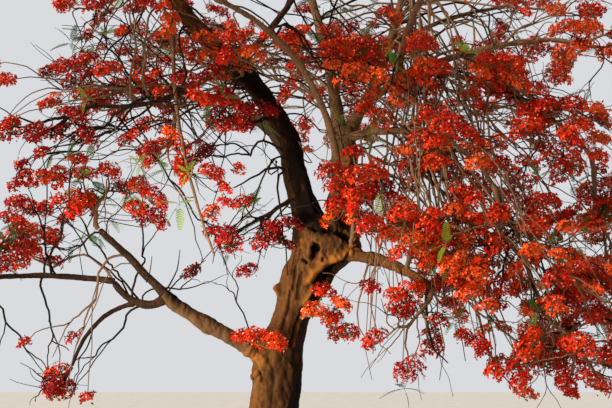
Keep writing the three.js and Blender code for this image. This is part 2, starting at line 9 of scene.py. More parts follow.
import sys
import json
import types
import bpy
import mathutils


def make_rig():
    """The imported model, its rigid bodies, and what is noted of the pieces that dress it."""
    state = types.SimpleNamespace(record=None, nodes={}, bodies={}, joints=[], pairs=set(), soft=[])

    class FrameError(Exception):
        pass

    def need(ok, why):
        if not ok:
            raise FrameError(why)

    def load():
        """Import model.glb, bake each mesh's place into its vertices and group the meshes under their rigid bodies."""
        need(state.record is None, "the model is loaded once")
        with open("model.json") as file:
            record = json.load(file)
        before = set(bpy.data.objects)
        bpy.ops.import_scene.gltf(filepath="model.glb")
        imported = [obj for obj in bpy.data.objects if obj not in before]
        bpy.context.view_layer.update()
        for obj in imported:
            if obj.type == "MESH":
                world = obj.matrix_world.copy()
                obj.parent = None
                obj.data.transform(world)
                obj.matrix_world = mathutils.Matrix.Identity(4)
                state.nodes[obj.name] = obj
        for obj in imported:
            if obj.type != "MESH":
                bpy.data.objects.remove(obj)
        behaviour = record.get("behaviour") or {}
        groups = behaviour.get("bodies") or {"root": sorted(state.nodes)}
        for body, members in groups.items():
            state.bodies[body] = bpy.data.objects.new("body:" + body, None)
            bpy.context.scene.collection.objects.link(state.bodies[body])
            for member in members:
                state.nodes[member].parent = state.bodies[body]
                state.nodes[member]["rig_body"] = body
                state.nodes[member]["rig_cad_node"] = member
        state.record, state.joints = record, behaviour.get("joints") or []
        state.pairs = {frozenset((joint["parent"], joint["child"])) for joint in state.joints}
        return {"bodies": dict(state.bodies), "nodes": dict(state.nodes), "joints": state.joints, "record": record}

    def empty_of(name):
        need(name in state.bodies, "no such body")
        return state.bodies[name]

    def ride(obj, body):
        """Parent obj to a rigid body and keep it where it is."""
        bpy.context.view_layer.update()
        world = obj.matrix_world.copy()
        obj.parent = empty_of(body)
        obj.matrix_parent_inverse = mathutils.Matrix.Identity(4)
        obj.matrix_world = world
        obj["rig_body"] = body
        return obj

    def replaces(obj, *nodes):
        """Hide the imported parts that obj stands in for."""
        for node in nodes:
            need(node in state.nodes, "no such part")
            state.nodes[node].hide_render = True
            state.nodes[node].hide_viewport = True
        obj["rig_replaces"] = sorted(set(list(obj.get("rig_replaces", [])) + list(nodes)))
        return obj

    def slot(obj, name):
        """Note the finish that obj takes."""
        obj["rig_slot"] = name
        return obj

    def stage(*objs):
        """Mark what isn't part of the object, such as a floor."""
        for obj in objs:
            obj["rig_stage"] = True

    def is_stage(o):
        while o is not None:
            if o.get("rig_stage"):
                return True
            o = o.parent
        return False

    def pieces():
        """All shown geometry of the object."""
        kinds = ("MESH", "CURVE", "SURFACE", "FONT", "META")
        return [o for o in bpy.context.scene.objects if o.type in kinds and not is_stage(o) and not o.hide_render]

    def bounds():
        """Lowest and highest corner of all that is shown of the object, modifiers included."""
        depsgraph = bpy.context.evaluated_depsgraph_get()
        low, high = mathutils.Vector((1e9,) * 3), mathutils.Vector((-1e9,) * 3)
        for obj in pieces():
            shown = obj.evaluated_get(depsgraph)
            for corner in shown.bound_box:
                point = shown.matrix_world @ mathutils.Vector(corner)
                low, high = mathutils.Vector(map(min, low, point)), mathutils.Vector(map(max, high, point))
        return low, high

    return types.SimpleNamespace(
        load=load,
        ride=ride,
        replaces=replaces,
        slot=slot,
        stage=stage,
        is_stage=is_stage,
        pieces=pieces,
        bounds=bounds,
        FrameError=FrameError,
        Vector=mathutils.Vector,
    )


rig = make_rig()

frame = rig.load()
CAD_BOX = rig.bounds()

import json
import logging
import math
from collections.abc import Callable, Sequence
from dataclasses import dataclass, field
from enum import Enum
from functools import cached_property

import bpy
import numpy as np

log = logging.getLogger("flame_tree")

Array = np.ndarray
Place = tuple[float, float, float]
Piece, Material = bpy.types.Object, bpy.types.Material
Tree, Node, Socket = bpy.types.NodeTree, bpy.types.Node, bpy.types.NodeSocket

METRES = 0.001  # one millimetre of the growth rule
UP = np.array([0.0, 0.0, 1.0])
PIECE_LIMIT = 190_000  # triangles
BODY = "root"
GAP = 0.3  # from a limb or a stem to what carries it
LIMB_MARGIN = 30.0  # least room between a twig or blossom and any limb
SPACE_MARGIN = 45.0  # least room between a twig or blossom and the next mass's space
EVEN = np.linspace(0, 1, 40)  # even shares of a length


def unit(vectors: Array) -> Array:
    """Gives vectors along the last axis the length one."""
    return vectors / np.maximum(np.linalg.norm(vectors, axis=-1, keepdims=True), 1e-12)


def towards(start: Array, end: Array) -> Array:
    """The direction from one place to another, at length one."""
    return unit(end - start)


@dataclass
class Chance:
    """A repeatable stream of numbers from 0 to 1: the part's own linear congruential generator."""

    state: int

    def __post_init__(self) -> None:
        """Drops the two numbers that lie nearest to the seed."""
        self.next()
        self.next()

    def next(self) -> float:
        """The next number from 0 to 1."""
        self.state = (self.state * 1664525 + 1013904223) & 0xFFFFFFFF
        return self.state / 4294967296

    def stray(self, size: float) -> Array:
        """A vector whose three parts each lie within the given size of nought."""
        return np.array([(2 * self.next() - 1) * size for _ in range(3)])

    def between(self, low: float, high: float) -> float:
        """A number between two others."""
        return low + (high - low) * self.next()

    def pick(self, choices: Sequence) -> object:
        """One of several choices."""
        return choices[min(int(self.next() * len(choices)), len(choices) - 1)]


class Curve:
    """A smooth curve that can be asked for a place by its share of the length."""

    DIVISIONS = 200  # straight steps that the curve's length is added up from
    TANGENT_STEP = 0.0001

    def point(self, t: Array) -> Array:
        """Places at the curve's own parameter, from 0 to 1."""
        raise NotImplementedError

    @cached_property
    def lengths(self) -> Array:
        """The length from the start to each division."""
        steps = np.diff(self.point(np.linspace(0, 1, self.DIVISIONS + 1)), axis=0)
        return np.concatenate(([0.0], np.cumsum(np.linalg.norm(steps, axis=1))))

    def parameter(self, share: Array) -> Array:
        """The curve's own parameter at a share of its length."""
        divisions = np.linspace(0, 1, self.DIVISIONS + 1)
        return np.interp(np.asarray(share) * self.lengths[-1], self.lengths, divisions)

    def point_at(self, share: Array) -> Array:
        """Places at shares of the length."""
        return self.point(self.parameter(share))

    def tangent_at(self, share: Array) -> Array:
        """Directions of travel at shares of the length."""
        t = self.parameter(share)
        return towards(self.point(np.maximum(t - self.TANGENT_STEP, 0)),
                       self.point(np.minimum(t + self.TANGENT_STEP, 1)))


class BezierCurve(Curve):
    """A curve drawn towards its control points."""

    def __init__(self, *controls: Array) -> None:
        """Keeps the control points: three for a bough, four for a twig."""
        self.controls = np.array(controls, float)

    def point(self, t: Array) -> Array:
        """Places at the curve's own parameter.

        Args:
            t: From 0 to 1.

        Returns:
            One place for each.
        """
        along = np.asarray(t, float)[..., None]
        layer = list(self.controls)
        while len(layer) > 1:
            layer = [a * (1 - along) + b * along for a, b in zip(layer, layer[1:])]
        return layer[0]


class StationCurve(Curve):
    """A curve that runs through every station, with its speed evened out between near and far ones."""

    def __init__(self, places: Array) -> None:
        """Keeps the stations, and one more beyond each end."""
        self.places = np.vstack([2 * places[0] - places[1], places, 2 * places[-1] - places[-2]])

    def point(self, t: Array) -> Array:
        """Places at the curve's own parameter.

        Args:
            t: From 0 to 1.

        Returns:
            One place for each.
        """
        spans = len(self.places) - 3
        along = np.asarray(t, float) * spans
        span = np.minimum(np.floor(along).astype(int), spans - 1)
        share = (along - span)[..., None]
        p0, p1, p2, p3 = (self.places[span + i] for i in range(4))
        pairs = ((p0, p1), (p1, p2), (p2, p3))
        d0, d1, d2 = (np.sqrt(np.linalg.norm(b - a, axis=-1, keepdims=True)) for a, b in pairs)
        leaving = ((p1 - p0) / d0 - (p2 - p0) / (d0 + d1) + (p2 - p1) / d1) * d1
        arriving = ((p2 - p1) / d1 - (p3 - p1) / (d1 + d2) + (p3 - p2) / d2) * d1
        square = 3 * (p2 - p1) - 2 * leaving - arriving
        cube = 2 * (p1 - p2) + leaving + arriving
        return p1 + share * (leaving + share * (square + share * cube))


@dataclass(frozen=True)
class Bough:
    """One bough as the part's source lays it out."""

    name: str
    carrier: str
    at: float  # how far along the carrier its root is, as a share of length
    tip: Place
    bow: Place  # how far its middle bows from a straight line
    girth: tuple[float, float]  # its radius at root and tip
    root: Place = (0, 0, 0)  # where its root is off the carrier's middle


class Mood(Enum):
    """How a mass of blossom is coloured: partly the season's own reds, partly painted light and shade, with brighter
    reds where the sun falls and darker crimson where the crown shades it.
    """

    SUNLIT = "bright flame and orange"
    MIXED = "flame with some crimson"
    SHADED = "mostly scarlet and crimson"
    DEEP = "dark crimson"


SUNLIT, MIXED, SHADED, DEEP = Mood


@dataclass(frozen=True)
class Mass:
    """One mass of flowering twigs as the part's source lays it out."""

    label: str  # its node's name but for the ending
    carrier: str
    at: float  # how far along the carrier its stem is, as a share of length
    centre: Place
    reach: Place  # its space's three half-widths
    tips: int  # how many sprays of blossom the source ends it in
    mood: Mood
    heads: float = 1.0  # the share of its fine heads that it keeps where the photograph shows sky
    bare: float = 1.0  # the same for its flowerless sprays

    @property
    def name(self) -> str:
        """Its node's name."""
        return f"{self.label}_mass"


TRUNK_STATIONS = (  # x, z and radius, from the flat cut up to the fork
    (0, 0, 400), (4, 130, 345), (12, 400, 292), (50, 1170, 264), (105, 1780, 248),
    (205, 2135, 205), (330, 2480, 226), (490, 2830, 240), (652, 3190, 312), (695, 3430, 235),
)
ROOT_LOBES = 5
ROOT_LOBE_DEPTH = 0.16
ROOT_LOBE_HEIGHT = 420.0

BOUGHS = (
    Bough("left_leader_foot", "trunk", 0.94, (225, -150, 4350), (-50, 0, 0), (165, 128), (-125, 0, 0)),
    Bough("centre_stem", "trunk", 0.94, (890, 220, 4600), (45, 20, 0), (175, 122), (145, 40, 0)),
    Bough("right_bough", "trunk", 0.86, (1790, -1000, 2480), (60, 60, 150), (88, 45)),
    Bough("left_leader_bend", "left_leader_foot", 1, (-530, -600, 5250), (50, 20, 50), (128, 113)),
    Bough("left_leader_top", "left_leader_bend", 1, (-1700, -1150, 6850), (-90, -60, -70), (113, 55)),
    Bough("left_arm", "left_leader_bend", 0.96, (-1880, -1250, 4480), (40, -40, -200), (40, 24)),
    Bough("cross_limb", "left_leader_bend", 0.93, (520, -950, 6350), (40, 60, -120), (52, 30)),
    Bough("hanging_limb", "left_leader_top", 0.42, (-548, -1330, 2790), (-170, -40, 20), (30, 14)),
    Bough("back_left_bough", "left_leader_foot", 0.75, (-1100, 1850, 5500), (60, -100, 220), (88, 46)),
    Bough("centre_left_stem", "centre_stem", 0.97, (260, 620, 7250), (60, -60, 0), (84, 42), (-45, 20, 0)),
    Bough("centre_right_stem", "centre_stem", 0.96, (1800, 1000, 7000), (120, 60, 0), (88, 46), (60, 30, 0)),
    Bough("right_reach", "centre_right_stem", 0.2, (3450, -200, 5625), (-90, 40, 190), (62, 31)),
    Bough("high_right_bough", "centre_right_stem", 0.55, (3050, 900, 6500), (-40, 60, 100), (40, 26)),
    Bough("right_sweep", "centre_stem", 0.9, (2330, -1000, 3900), (90, -60, 200), (60, 28), (30, -30, 0)),
    Bough("right_fall", "right_sweep", 1, (2850, -1320, 2350), (70, -20, 60), (28, 19)),
    Bough("right_far_sweep", "right_reach", 0.3, (3950, 250, 4350), (120, 200, 330), (42, 26)),
    Bough("front_arch", "centre_stem", 0.3, (-450, -2050, 5350), (260, -60, 320), (52, 29), (0, -60, 0)),
    Bough("back_bough", "centre_stem", 0.7, (780, 2150, 5800), (0, -160, 220), (92, 46), (0, 60, 0)),
    Bough("back_right_bough", "centre_right_stem", 0.3, (2350, 1850, 5700), (-60, 60, 170), (60, 38),
          (0, 30, 0)),
    Bough("front_right_bough", "right_reach", 0.2, (2080, -1950, 5850), (-120, -60, 220), (52, 33)),
    Bough("low_left_bough", "trunk", 0.5, (-1242, -400, 2470), (-30, 0, -60), (98, 74)),
    Bough("low_left_rise", "low_left_bough", 0.97, (-1960, -600, 3200), (10, 0, 10), (52, 38), (0, 0, 14)),
    Bough("low_left_elbow", "low_left_bough", 0.97, (-1792, -500, 2611), (0, 0, -165), (54, 41), (0, 0, -14)),
    Bough("low_left_reach", "low_left_elbow", 1, (-3250, -520, 2640), (-60, 0, 45), (41, 28)),
    Bough("low_left_droop", "low_left_elbow", 0.5, (-2170, -700, 1640), (-90, 0, 130), (31, 20), (0, 0, -10)),
)

FIRST_SEED = 101  # of the first mass; each later one has the next
MASSES = (
    Mass("top_left", "left_leader_top", 1, (-2050, -1200, 7550), (1250, 1250, 900), 7, MIXED, 0.1),
    Mass("left_shoulder", "left_leader_top", 0.55, (-1720, -1300, 5620), (760, 700, 470), 5, MIXED,
         0.28, 0.6),
    Mass("left_middle", "left_arm", 0.7, (-1900, -900, 4890), (700, 650, 400), 6, MIXED, 0.15, 0.7),
    Mass("left_flank", "left_arm", 1, (-2420, -1200, 4230), (720, 650, 370), 5, SHADED, 0.28, 0.6),
    Mass("left_inner", "left_arm", 0.45, (-970, -1000, 3940), (600, 560, 400), 5, MIXED, 0.25),
    Mass("left_hanging", "left_leader_foot", 0.45, (-300, -320, 3130), (620, 560, 620), 6, DEEP, 0.35, 0.6),
    Mass("leader_side", "left_leader_bend", 0.25, (-380, -950, 4380), (430, 420, 480), 4, SHADED,
         0.7, 0.6),
    Mass("leader_front", "left_leader_bend", 0.75, (-480, -1300, 5040), (560, 430, 420), 5, SUNLIT, 0.55),
    Mass("left_lower", "low_left_rise", 1, (-2070, -650, 3640), (880, 720, 430), 6, MIXED, 0.55),
    Mass("low_left_end", "low_left_reach", 1, (-3100, -560, 3060), (1000, 800, 450), 6, MIXED, 0.62),
    Mass("low_left_droop", "low_left_droop", 1, (-2270, -760, 1450), (380, 360, 330), 3, SHADED, 0.1, 0.5),
    Mass("collar", "low_left_bough", 0.25, (-210, -500, 1960), (330, 280, 230), 2, SUNLIT, 1, 0),
    Mass("trunk_side", "trunk", 0.62, (640, -430, 2300), (400, 360, 400), 4, SUNLIT, 0.6, 0.25),
    Mass("front_left", "front_arch", 1, (-1000, -2750, 6000), (1350, 1300, 900), 8, MIXED, 0.3),
    Mass("front", "cross_limb", 1, (650, -1700, 6900), (1000, 1100, 800), 6, SUNLIT),
    Mass("centre", "centre_left_stem", 0.4, (590, -250, 5480), (560, 480, 440), 5, SUNLIT, 0.65),
    Mass("centre_low", "right_bough", 0.28, (1010, -680, 3760), (470, 420, 520), 5, SUNLIT, 0.65, 0.5),
    Mass("top", "centre_left_stem", 1, (150, 500, 7950), (1250, 1300, 880), 8, MIXED, 0.8),
    Mass("top_right", "centre_right_stem", 1, (2200, 1300, 7750), (1250, 1200, 850), 7, SUNLIT, 0.6),
    Mass("right_upper", "high_right_bough", 0.25, (1750, 50, 5300), (620, 560, 440), 6, SUNLIT, 0.65),
    Mass("right_inner", "right_sweep", 0.45, (1980, -700, 4150), (680, 600, 420), 6, SUNLIT, 0.62),
    Mass("high_right", "high_right_bough", 1, (3600, 900, 6700), (1150, 1200, 850), 7, MIXED, 0.5),
    Mass("right_end", "right_reach", 1, (3900, -400, 5450), (950, 850, 580), 7, SUNLIT, 0.55),
    Mass("right_shoulder", "right_reach", 0.62, (3300, -850, 4320), (780, 680, 480), 6, SUNLIT, 0.7),
    Mass("right_fan", "right_bough", 0.75, (1700, -1250, 3130), (640, 560, 430), 6, SUNLIT, 1.2),
    Mass("right_droop", "right_bough", 1, (1480, -1150, 2000), (620, 520, 640), 6, MIXED, 0.3, 0.5),
    Mass("right_fall", "right_fall", 0.2, (2480, -1350, 2950), (720, 620, 620), 7, SUNLIT),
    Mass("right_skirt", "right_fall", 1, (3050, -1500, 1850), (850, 720, 640), 7, SUNLIT, 0.75),
    Mass("right_far_fall", "right_far_sweep", 1, (4150, -50, 3150), (950, 950, 1150), 8, SUNLIT, 1.15),
    Mass("front_right", "front_right_bough", 1, (2400, -2750, 6150), (1350, 1300, 930), 8, SUNLIT),
    Mass("back_left", "back_left_bough", 1, (-1850, 2650, 5900), (1350, 1350, 1050), 8, MIXED, 0.35),
    Mass("left_back", "back_left_bough", 0.6, (-2200, 900, 5650), (1150, 1050, 850), 6, SHADED, 0.2, 0.5),
    Mass("back", "back_bough", 1, (650, 3200, 6050), (1400, 1350, 1150), 9, MIXED, 0.9),
    Mass("back_right", "back_right_bough", 1, (3000, 2750, 5950), (1350, 1300, 1100), 8, MIXED, 0.6),
)


@dataclass
class Limb:
    """The trunk or a bough: its curve and its radius along it, in millimetres."""

    STRETCHES = 10  # straight stretches that a limb is taken as where twigs keep clear of it

    name: str
    curve: Curve
    girth: Callable[[Array], Array]  # gives the radius at shares of the length
    carries_on: bool = False  # whether it carries straight on from another limb's tip

    @property
    def length(self) -> float:
        """The limb's length along its curve."""
        return float(self.curve.lengths[-1])

    def stretches(self) -> tuple[Array, Array, Array]:
        """The start, end and radius of each straight stretch that it is taken as."""
        shares = np.arange(self.STRETCHES + 1) / self.STRETCHES
        places = self.curve.point_at(shares)
        return places[:-1], places[1:], self.girth(shares[:-1])


def trunk_girth(curve: Curve, lobed: bool) -> Callable[[Array], Array]:
    """The trunk's radius, read off its stations.

    Args:
        curve: The trunk's middle.
        lobed: Whether the root lobes' full width is added towards the ground.

    Returns:
        A function from shares of the length to radii.
    """
    _, heights, radii = np.array(TRUNK_STATIONS, float).T

    def girth(share: Array) -> Array:
        """The radius at shares of the trunk's length."""
        height = curve.point_at(share)[..., 2]
        lobe = ROOT_LOBE_DEPTH * np.maximum(0, 1 - height / ROOT_LOBE_HEIGHT)
        return np.interp(height, heights, radii) * (1 + lobe if lobed else 1)

    return girth


def lay_out_limbs() -> dict[str, Limb]:
    """Lays out the trunk and every bough, each on the limb that carries it.

    Returns:
        The limbs by name, in the order that they grow in.
    """
    across, heights, _ = np.array(TRUNK_STATIONS, float).T
    curve = StationCurve(np.column_stack([across, 0 * heights, heights]))
    limbs = {"trunk": Limb("trunk", curve, trunk_girth(curve, lobed=True))}
    for bough in BOUGHS:
        carrier = limbs[bough.carrier].curve
        root = carrier.point_at(bough.at)
        root = root + (GAP * carrier.tangent_at(1) if bough.at == 1 else np.array(bough.root, float))
        tip = np.array(bough.tip, float)
        handle = (root + tip) / 2 + 2 * np.array(bough.bow, float)
        thick, thin = bough.girth
        girth = lambda share, thick=thick, thin=thin: thick + (thin - thick) * np.asarray(share, float)
        limbs[bough.name] = Limb(bough.name, BezierCurve(root, handle, tip), girth, bough.at == 1)
    return limbs


@dataclass
class Obstacles:
    """What is in the way of growing twigs: straight stretches with a radius, each with its owner."""

    owners: list[str] = field(default_factory=list)
    parts: list[tuple[Array, Array, Array]] = field(default_factory=list)
    joined: tuple[Array, Array, Array, Array] | None = None

    def add(self, owner: str, starts: Array, ends: Array, radii: Array) -> None:
        """Puts one limb's or mass's stretches in the way.

        Args:
            owner: The limb or mass.
            starts: Where its stretches start.
            ends: Where they end.
            radii: Their radii.
        """
        self.owners += [owner] * len(starts)
        self.parts.append((starts, ends, radii))
        self.joined = None

    def room(self, places: Array, left_out: str | None = None) -> Array:
        """How far places are from the bark or blossom of the nearest stretch.

        Args:
            places: The places to measure from.
            left_out: An owner whose stretches don't count.

        Returns:
            One distance for each place.
        """
        if self.joined is None:
            starts, ends, radii = (np.concatenate(part) for part in zip(*self.parts))
            self.joined = (starts, ends - starts, radii, np.array(self.owners))
        starts, runs, radii, owners = self.joined
        squares = np.maximum((runs * runs).sum(axis=1), 1e-12)
        away = places[:, None, :] - starts[None]
        along = np.clip((away * runs[None]).sum(axis=2) / squares, 0, 1)
        distances = np.linalg.norm(away - along[..., None] * runs[None], axis=2) - radii
        if left_out:
            distances[:, owners == left_out] = np.inf
        return distances.min(axis=1)


class Tint(Enum):
    """The reds of the blossom, dealt out by spray."""

    FLAME = "flame"
    ORANGE = "orange"
    SCARLET = "scarlet"
    CRIMSON = "crimson"
    MAROON = "maroon"


# The shaded moods are dealt the darker reds as painted shade, the sunlit ones the brighter reds as painted light
TINTS_OF_MOOD: dict[Mood, tuple[Tint, ...]] = {  # as often as each is named
    SUNLIT: (Tint.FLAME,) * 4 + (Tint.ORANGE,) * 3 + (Tint.SCARLET,) * 3,
    MIXED: (Tint.FLAME,) * 3 + (Tint.ORANGE,) + (Tint.SCARLET,) * 3 + (Tint.CRIMSON,),
    SHADED: (Tint.FLAME,) + (Tint.SCARLET,) * 3 + (Tint.CRIMSON,) * 3,
    DEEP: (Tint.SCARLET,) + (Tint.CRIMSON,) * 3 + (Tint.MAROON,) * 2,
}


@dataclass(frozen=True)
class Habit:
    """How a kind of twig grows."""

    fork_share: float  # how far towards its tips' middle a branch runs before it forks
    wobble: float  # how far a curve's handle strays, as a share of the span
    lift: float  # how strongly a twig's end turns up, or down where negative
    tip_radius: float  # of a twig that carries one tip
    sag: float = 0.0  # how far a twig's middle hangs, as a share of the span, or arches where negative
    curl: float = 0.0  # how far the direction that a twig ends in strays


SOURCE_HABIT = Habit(fork_share=0.48, wobble=0.09, lift=0.7, tip_radius=11)
FLOWERING_HABIT = Habit(fork_share=0.45, wobble=0.1, lift=0.8, tip_radius=5.4, curl=0.35)
BARE_HABIT = Habit(fork_share=0.5, wobble=0.16, lift=0.2, tip_radius=4.4, sag=-0.06, curl=0.6)
DRAPED_HABIT = Habit(fork_share=0.55, wobble=0.09, lift=-0.5, tip_radius=7.0, sag=-0.14, curl=0.15)
ARCHING_HABIT = Habit(fork_share=0.45, wobble=0.12, lift=-0.25, tip_radius=6.6, sag=-0.12, curl=0.45)


@dataclass
class Twig:
    """One stretch of twig from a fork to the next, or to its tip."""

    curve: Curve
    radius: float
    root_radius: float  # the radius that it starts with
    arriving: Array  # the direction that it ends in
    tipped: bool  # whether it ends at a tip and not at a fork
    light: bool  # whether its bark is the pale kind

    @property
    def end(self) -> Array:
        """Where it ends."""
        return self.curve.point(1.0)


@dataclass
class Head:
    """A head of flowers on a twig's end: its place, the way it faces, its radius and its red."""

    place: Array
    facing: Array
    radius: float
    tint: Tint

    @property
    def foot(self) -> Array:
        """Where its twig ends."""
        return self.place - self.facing * 0.45 * self.radius


@dataclass
class LeafSpray:
    """A tuft of feathery leaves: its root, the way it points, its leaves' length and their green."""

    place: Array
    facing: Array
    length: float
    leaves: int
    young: bool


@dataclass
class Brancher:
    """The growth rule: a branch runs part of the way to its tips' middle, forks, and forks again."""

    TRIES_PER_TWIG = 10
    INNER_SHARE = 0.3  # of an ellipsoid, that is seldom reached
    HANDLE = 0.36  # how far a twig's handles reach, as a share of its span
    PATH_SAMPLES = 6
    WIDENING = 1.25  # how much thicker than itself a twig may start

    seed: int  # what its chance is worked out from
    obstacles: Obstacles
    carrier: str | None = None  # the limb that its stem may touch
    twigs: list[Twig] = field(default_factory=list)
    is_light: bool = False  # whether its twigs have the pale bark

    def __post_init__(self) -> None:
        """Starts its chance."""
        self.chance = Chance(self.seed)

    def is_clear(self, places: Array, radius: float, left_out: str | None = None) -> bool:
        """Whether balls of one radius are clear of all that is in the way, but for one owner's."""
        return bool((self.obstacles.room(places, left_out) >= radius + LIMB_MARGIN).all())

    def has_room(self, places: Array, radius: float, is_stem: bool) -> bool:
        """Whether a twig through these places is clear, its stem's own limb left out."""
        return self.is_clear(places, radius, self.carrier if is_stem else None)

    def place_inside(self, centre: Array, reach: Array) -> Array:
        """A random place in an ellipsoid, seldom near its middle.

        Args:
            centre: The ellipsoid's middle.
            reach: Its three half-widths.

        Returns:
            The place.
        """
        height = 2 * self.chance.next() - 1
        turn = 2 * math.pi * self.chance.next()
        share = (self.INNER_SHARE + (1 - self.INNER_SHARE) * self.chance.next()) ** (1 / 3)
        flat = math.sqrt(1 - height * height)
        direction = np.array([flat * math.cos(turn), flat * math.sin(turn), height])
        return direction * share * reach + centre

    def twig_curve(self, start: Array, leaving: Array, end: Array, arriving: Array, radius: float,
                   habit: Habit, is_stem: bool) -> BezierCurve | None:
        """A twig that leaves one place along one direction and arrives at another along a second.

        Args:
            start: Where it leaves.
            leaving: The direction that it leaves in.
            end: Where it arrives.
            arriving: The direction that it arrives in.
            radius: Its radius.
            habit: How its kind grows.
            is_stem: Whether it leaves a limb.

        Returns:
            The first try that has room, or nothing. Each try strays further than the one before.
        """
        span = float(np.linalg.norm(end - start))
        samples = np.arange(1, self.PATH_SAMPLES + 1) / self.PATH_SAMPLES
        for i in range(1, self.TRIES_PER_TWIG + 1):
            first = start + leaving * span * self.HANDLE - UP * span * habit.sag
            second = end - arriving * span * self.HANDLE - UP * span * habit.sag
            first = first + self.chance.stray(span * habit.wobble * i)
            second = second + self.chance.stray(span * habit.wobble * i)
            curve = BezierCurve(start, first, second, end)
            if self.has_room(curve.point(samples), radius, is_stem):
                return curve
        return None

    @staticmethod
    def part_places(places: list[Array]) -> tuple[list[Array], list[Array]]:
        """Parts a set of places across the axis that they spread along most.

        Args:
            places: The places.

        Returns:
            The two halves.
        """
        axis = int(np.argmax(np.ptp(np.array(places), axis=0)))
        ordered = sorted(places, key=lambda place: place[axis])
        half = len(ordered) // 2
        return ordered[:half], ordered[half:]

    def branch_out(self, start: Array, leaving: Array, tips: list[Array], habit: Habit,
                   root_radius: float, is_stem: bool = False) -> None:
        """Grows a branch to all its tips. A twig that finds no room is left out with all it carries.

        Args:
            start: Where the branch leaves.
            leaving: The direction that it leaves in.
            tips: The places that it has to reach.
            habit: How its kind grows.
            root_radius: The radius of what it leaves.
            is_stem: Whether it leaves a limb.
        """
        tipped = len(tips) == 1
        goal = np.mean(tips, axis=0)
        end = goal if tipped else start + (goal - start) * habit.fork_share
        arriving = towards(start, end)
        if tipped:
            arriving = unit(arriving + UP * habit.lift)
        if habit.curl:
            arriving = unit(arriving + self.chance.stray(habit.curl))
        radius = habit.tip_radius * math.sqrt(len(tips))
        curve = self.twig_curve(start, leaving, end, arriving, radius, habit, is_stem)
        if curve is None:
            return
        thickest = min(root_radius, self.WIDENING * radius)
        self.twigs.append(Twig(curve, radius, thickest, arriving, tipped, self.is_light))
        if tipped:
            return
        for part in self.part_places(tips):
            outward = unit(towards(end, np.mean(part, axis=0)) + arriving)
            self.branch_out(end, outward, part, habit, radius)


class SourceGrowth(Brancher):
    """How one mass grows in the part's source, twig for twig."""

    TRIES_PER_TIP = 24
    STEM_WIDENING = 1.1
    BLOSSOM_RADIUS = 220.0
    LEAF_LENGTH = 520.0
    LEAF_DROOP = -0.15
    TUFT_SHARE = 0.75  # a fine leaf's length, as a share of the source's blade

    def __init__(self, mass: Mass, carrier: Limb, obstacles: Obstacles) -> None:
        """Prepares a mass to grow.

        Args:
            mass: The mass's layout.
            carrier: The limb that carries it.
            obstacles: What is in its way.
        """
        super().__init__(FIRST_SEED + MASSES.index(mass), obstacles, carrier.name)
        self.mass = mass
        self.limb = carrier
        self.centre = np.array(mass.centre, float)
        others = np.array([other.centre for other in MASSES if other is not mass], float)
        self.away = towards(others, self.centre)
        self.halfway = (others + self.centre) / 2
        self.leaf_sprays: list[LeafSpray] = []

    def is_on_own_side(self, places: Array, radius: float) -> bool:
        """Whether balls lie on the mass's own side of the plane half way to each other mass."""
        offsets = ((places[:, None, :] - self.halfway) * self.away).sum(axis=2)
        return bool((offsets >= radius + SPACE_MARGIN).all())

    def has_room(self, places: Array, radius: float, is_stem: bool) -> bool:
        """Whether a twig is clear and, once past its stem, on the mass's own side of every plane."""
        return super().has_room(places, radius, is_stem) and (
            is_stem or self.is_on_own_side(places, radius))

    def tip_places(self) -> list[Array]:
        """Chooses where the twigs end in blossom, each as far from the others as it can be.

        Returns:
            The places.
        """
        tips: list[Array] = []
        reach = np.array(self.mass.reach, float) - self.BLOSSOM_RADIUS
        for _ in range(self.mass.tips):
            best, best_room = None, -1.0
            for _ in range(self.TRIES_PER_TIP):
                place = self.place_inside(self.centre, reach)
                room = min((float(np.linalg.norm(tip - place)) for tip in tips), default=1e9)
                if room < best_room or not self.is_on_own_side(place[None], self.BLOSSOM_RADIUS):
                    continue
                if self.is_clear(place[None], self.BLOSSOM_RADIUS):
                    best, best_room = place, room
            if best is not None:
                tips.append(best)
        return tips

    def grow(self) -> None:
        """Grows the mass's twigs and leaf, and puts them in the way of later masses."""
        root = self.limb.curve.point_at(self.mass.at)
        leaving = towards(root, self.centre)
        if self.mass.at == 1:
            leaving = self.limb.curve.tangent_at(1)
            root = root + GAP * leaving
        # The sunlit and mixed masses take the pale twig bark, as painted light
        self.is_light = self.mass.mood in (SUNLIT, MIXED)
        tips = self.tip_places()
        stem_radius = SOURCE_HABIT.tip_radius * math.sqrt(len(tips)) * self.STEM_WIDENING
        self.branch_out(root, leaving, tips, SOURCE_HABIT, stem_radius, is_stem=True)
        for twig in [twig for twig in self.twigs if not twig.tipped][-1:]:
            self.add_leaf(twig.curve.point(0.5))
        starts, halves, ends = ([twig.curve.point(at) for twig in self.twigs] for at in (0.0, 0.5, 1.0))
        radii = [twig.radius for twig in self.twigs]
        balls = [twig.end for twig in self.twigs if twig.tipped]
        self.obstacles.add(self.mass.name, np.array(starts + halves + balls),
                           np.array(halves + ends + balls),
                           np.array(radii + radii + [self.BLOSSOM_RADIUS] * len(balls)))

    def add_leaf(self, root: Array) -> None:
        """Adds a tuft of leaves where the source has its one blade, if it has room.

        Args:
            root: Where the blade leaves its twig.
        """
        turn = 2 * math.pi * self.chance.next()
        outward = unit(np.array([math.cos(turn), math.sin(turn), self.LEAF_DROOP]))
        half = self.LEAF_LENGTH / 2
        middle = (root + outward * half)[None]
        if self.is_on_own_side(middle, half) and self.is_clear(middle, half):
            self.leaf_sprays.append(LeafSpray(root, outward, self.TUFT_SHARE * self.LEAF_LENGTH, 2, False))


@dataclass(frozen=True)
class Zone:
    """A space that fine twigs fill with heads of flowers."""

    centre: Place
    reach: Place  # its three half-widths
    heads: int  # how many heads of flowers it gets
    bare: int  # how many flowerless sprays
    mood: Mood


HEADS_PER_TIP = {SUNLIT: 4.2, MIXED: 2.3, SHADED: 2.1, DEEP: 2.6}
HEADS_PER_CUBIC_METRE = 20  # no mass is given more
BARE_PER_TIP = {SUNLIT: 2.2, MIXED: 2.6, SHADED: 3.2, DEEP: 2.6}
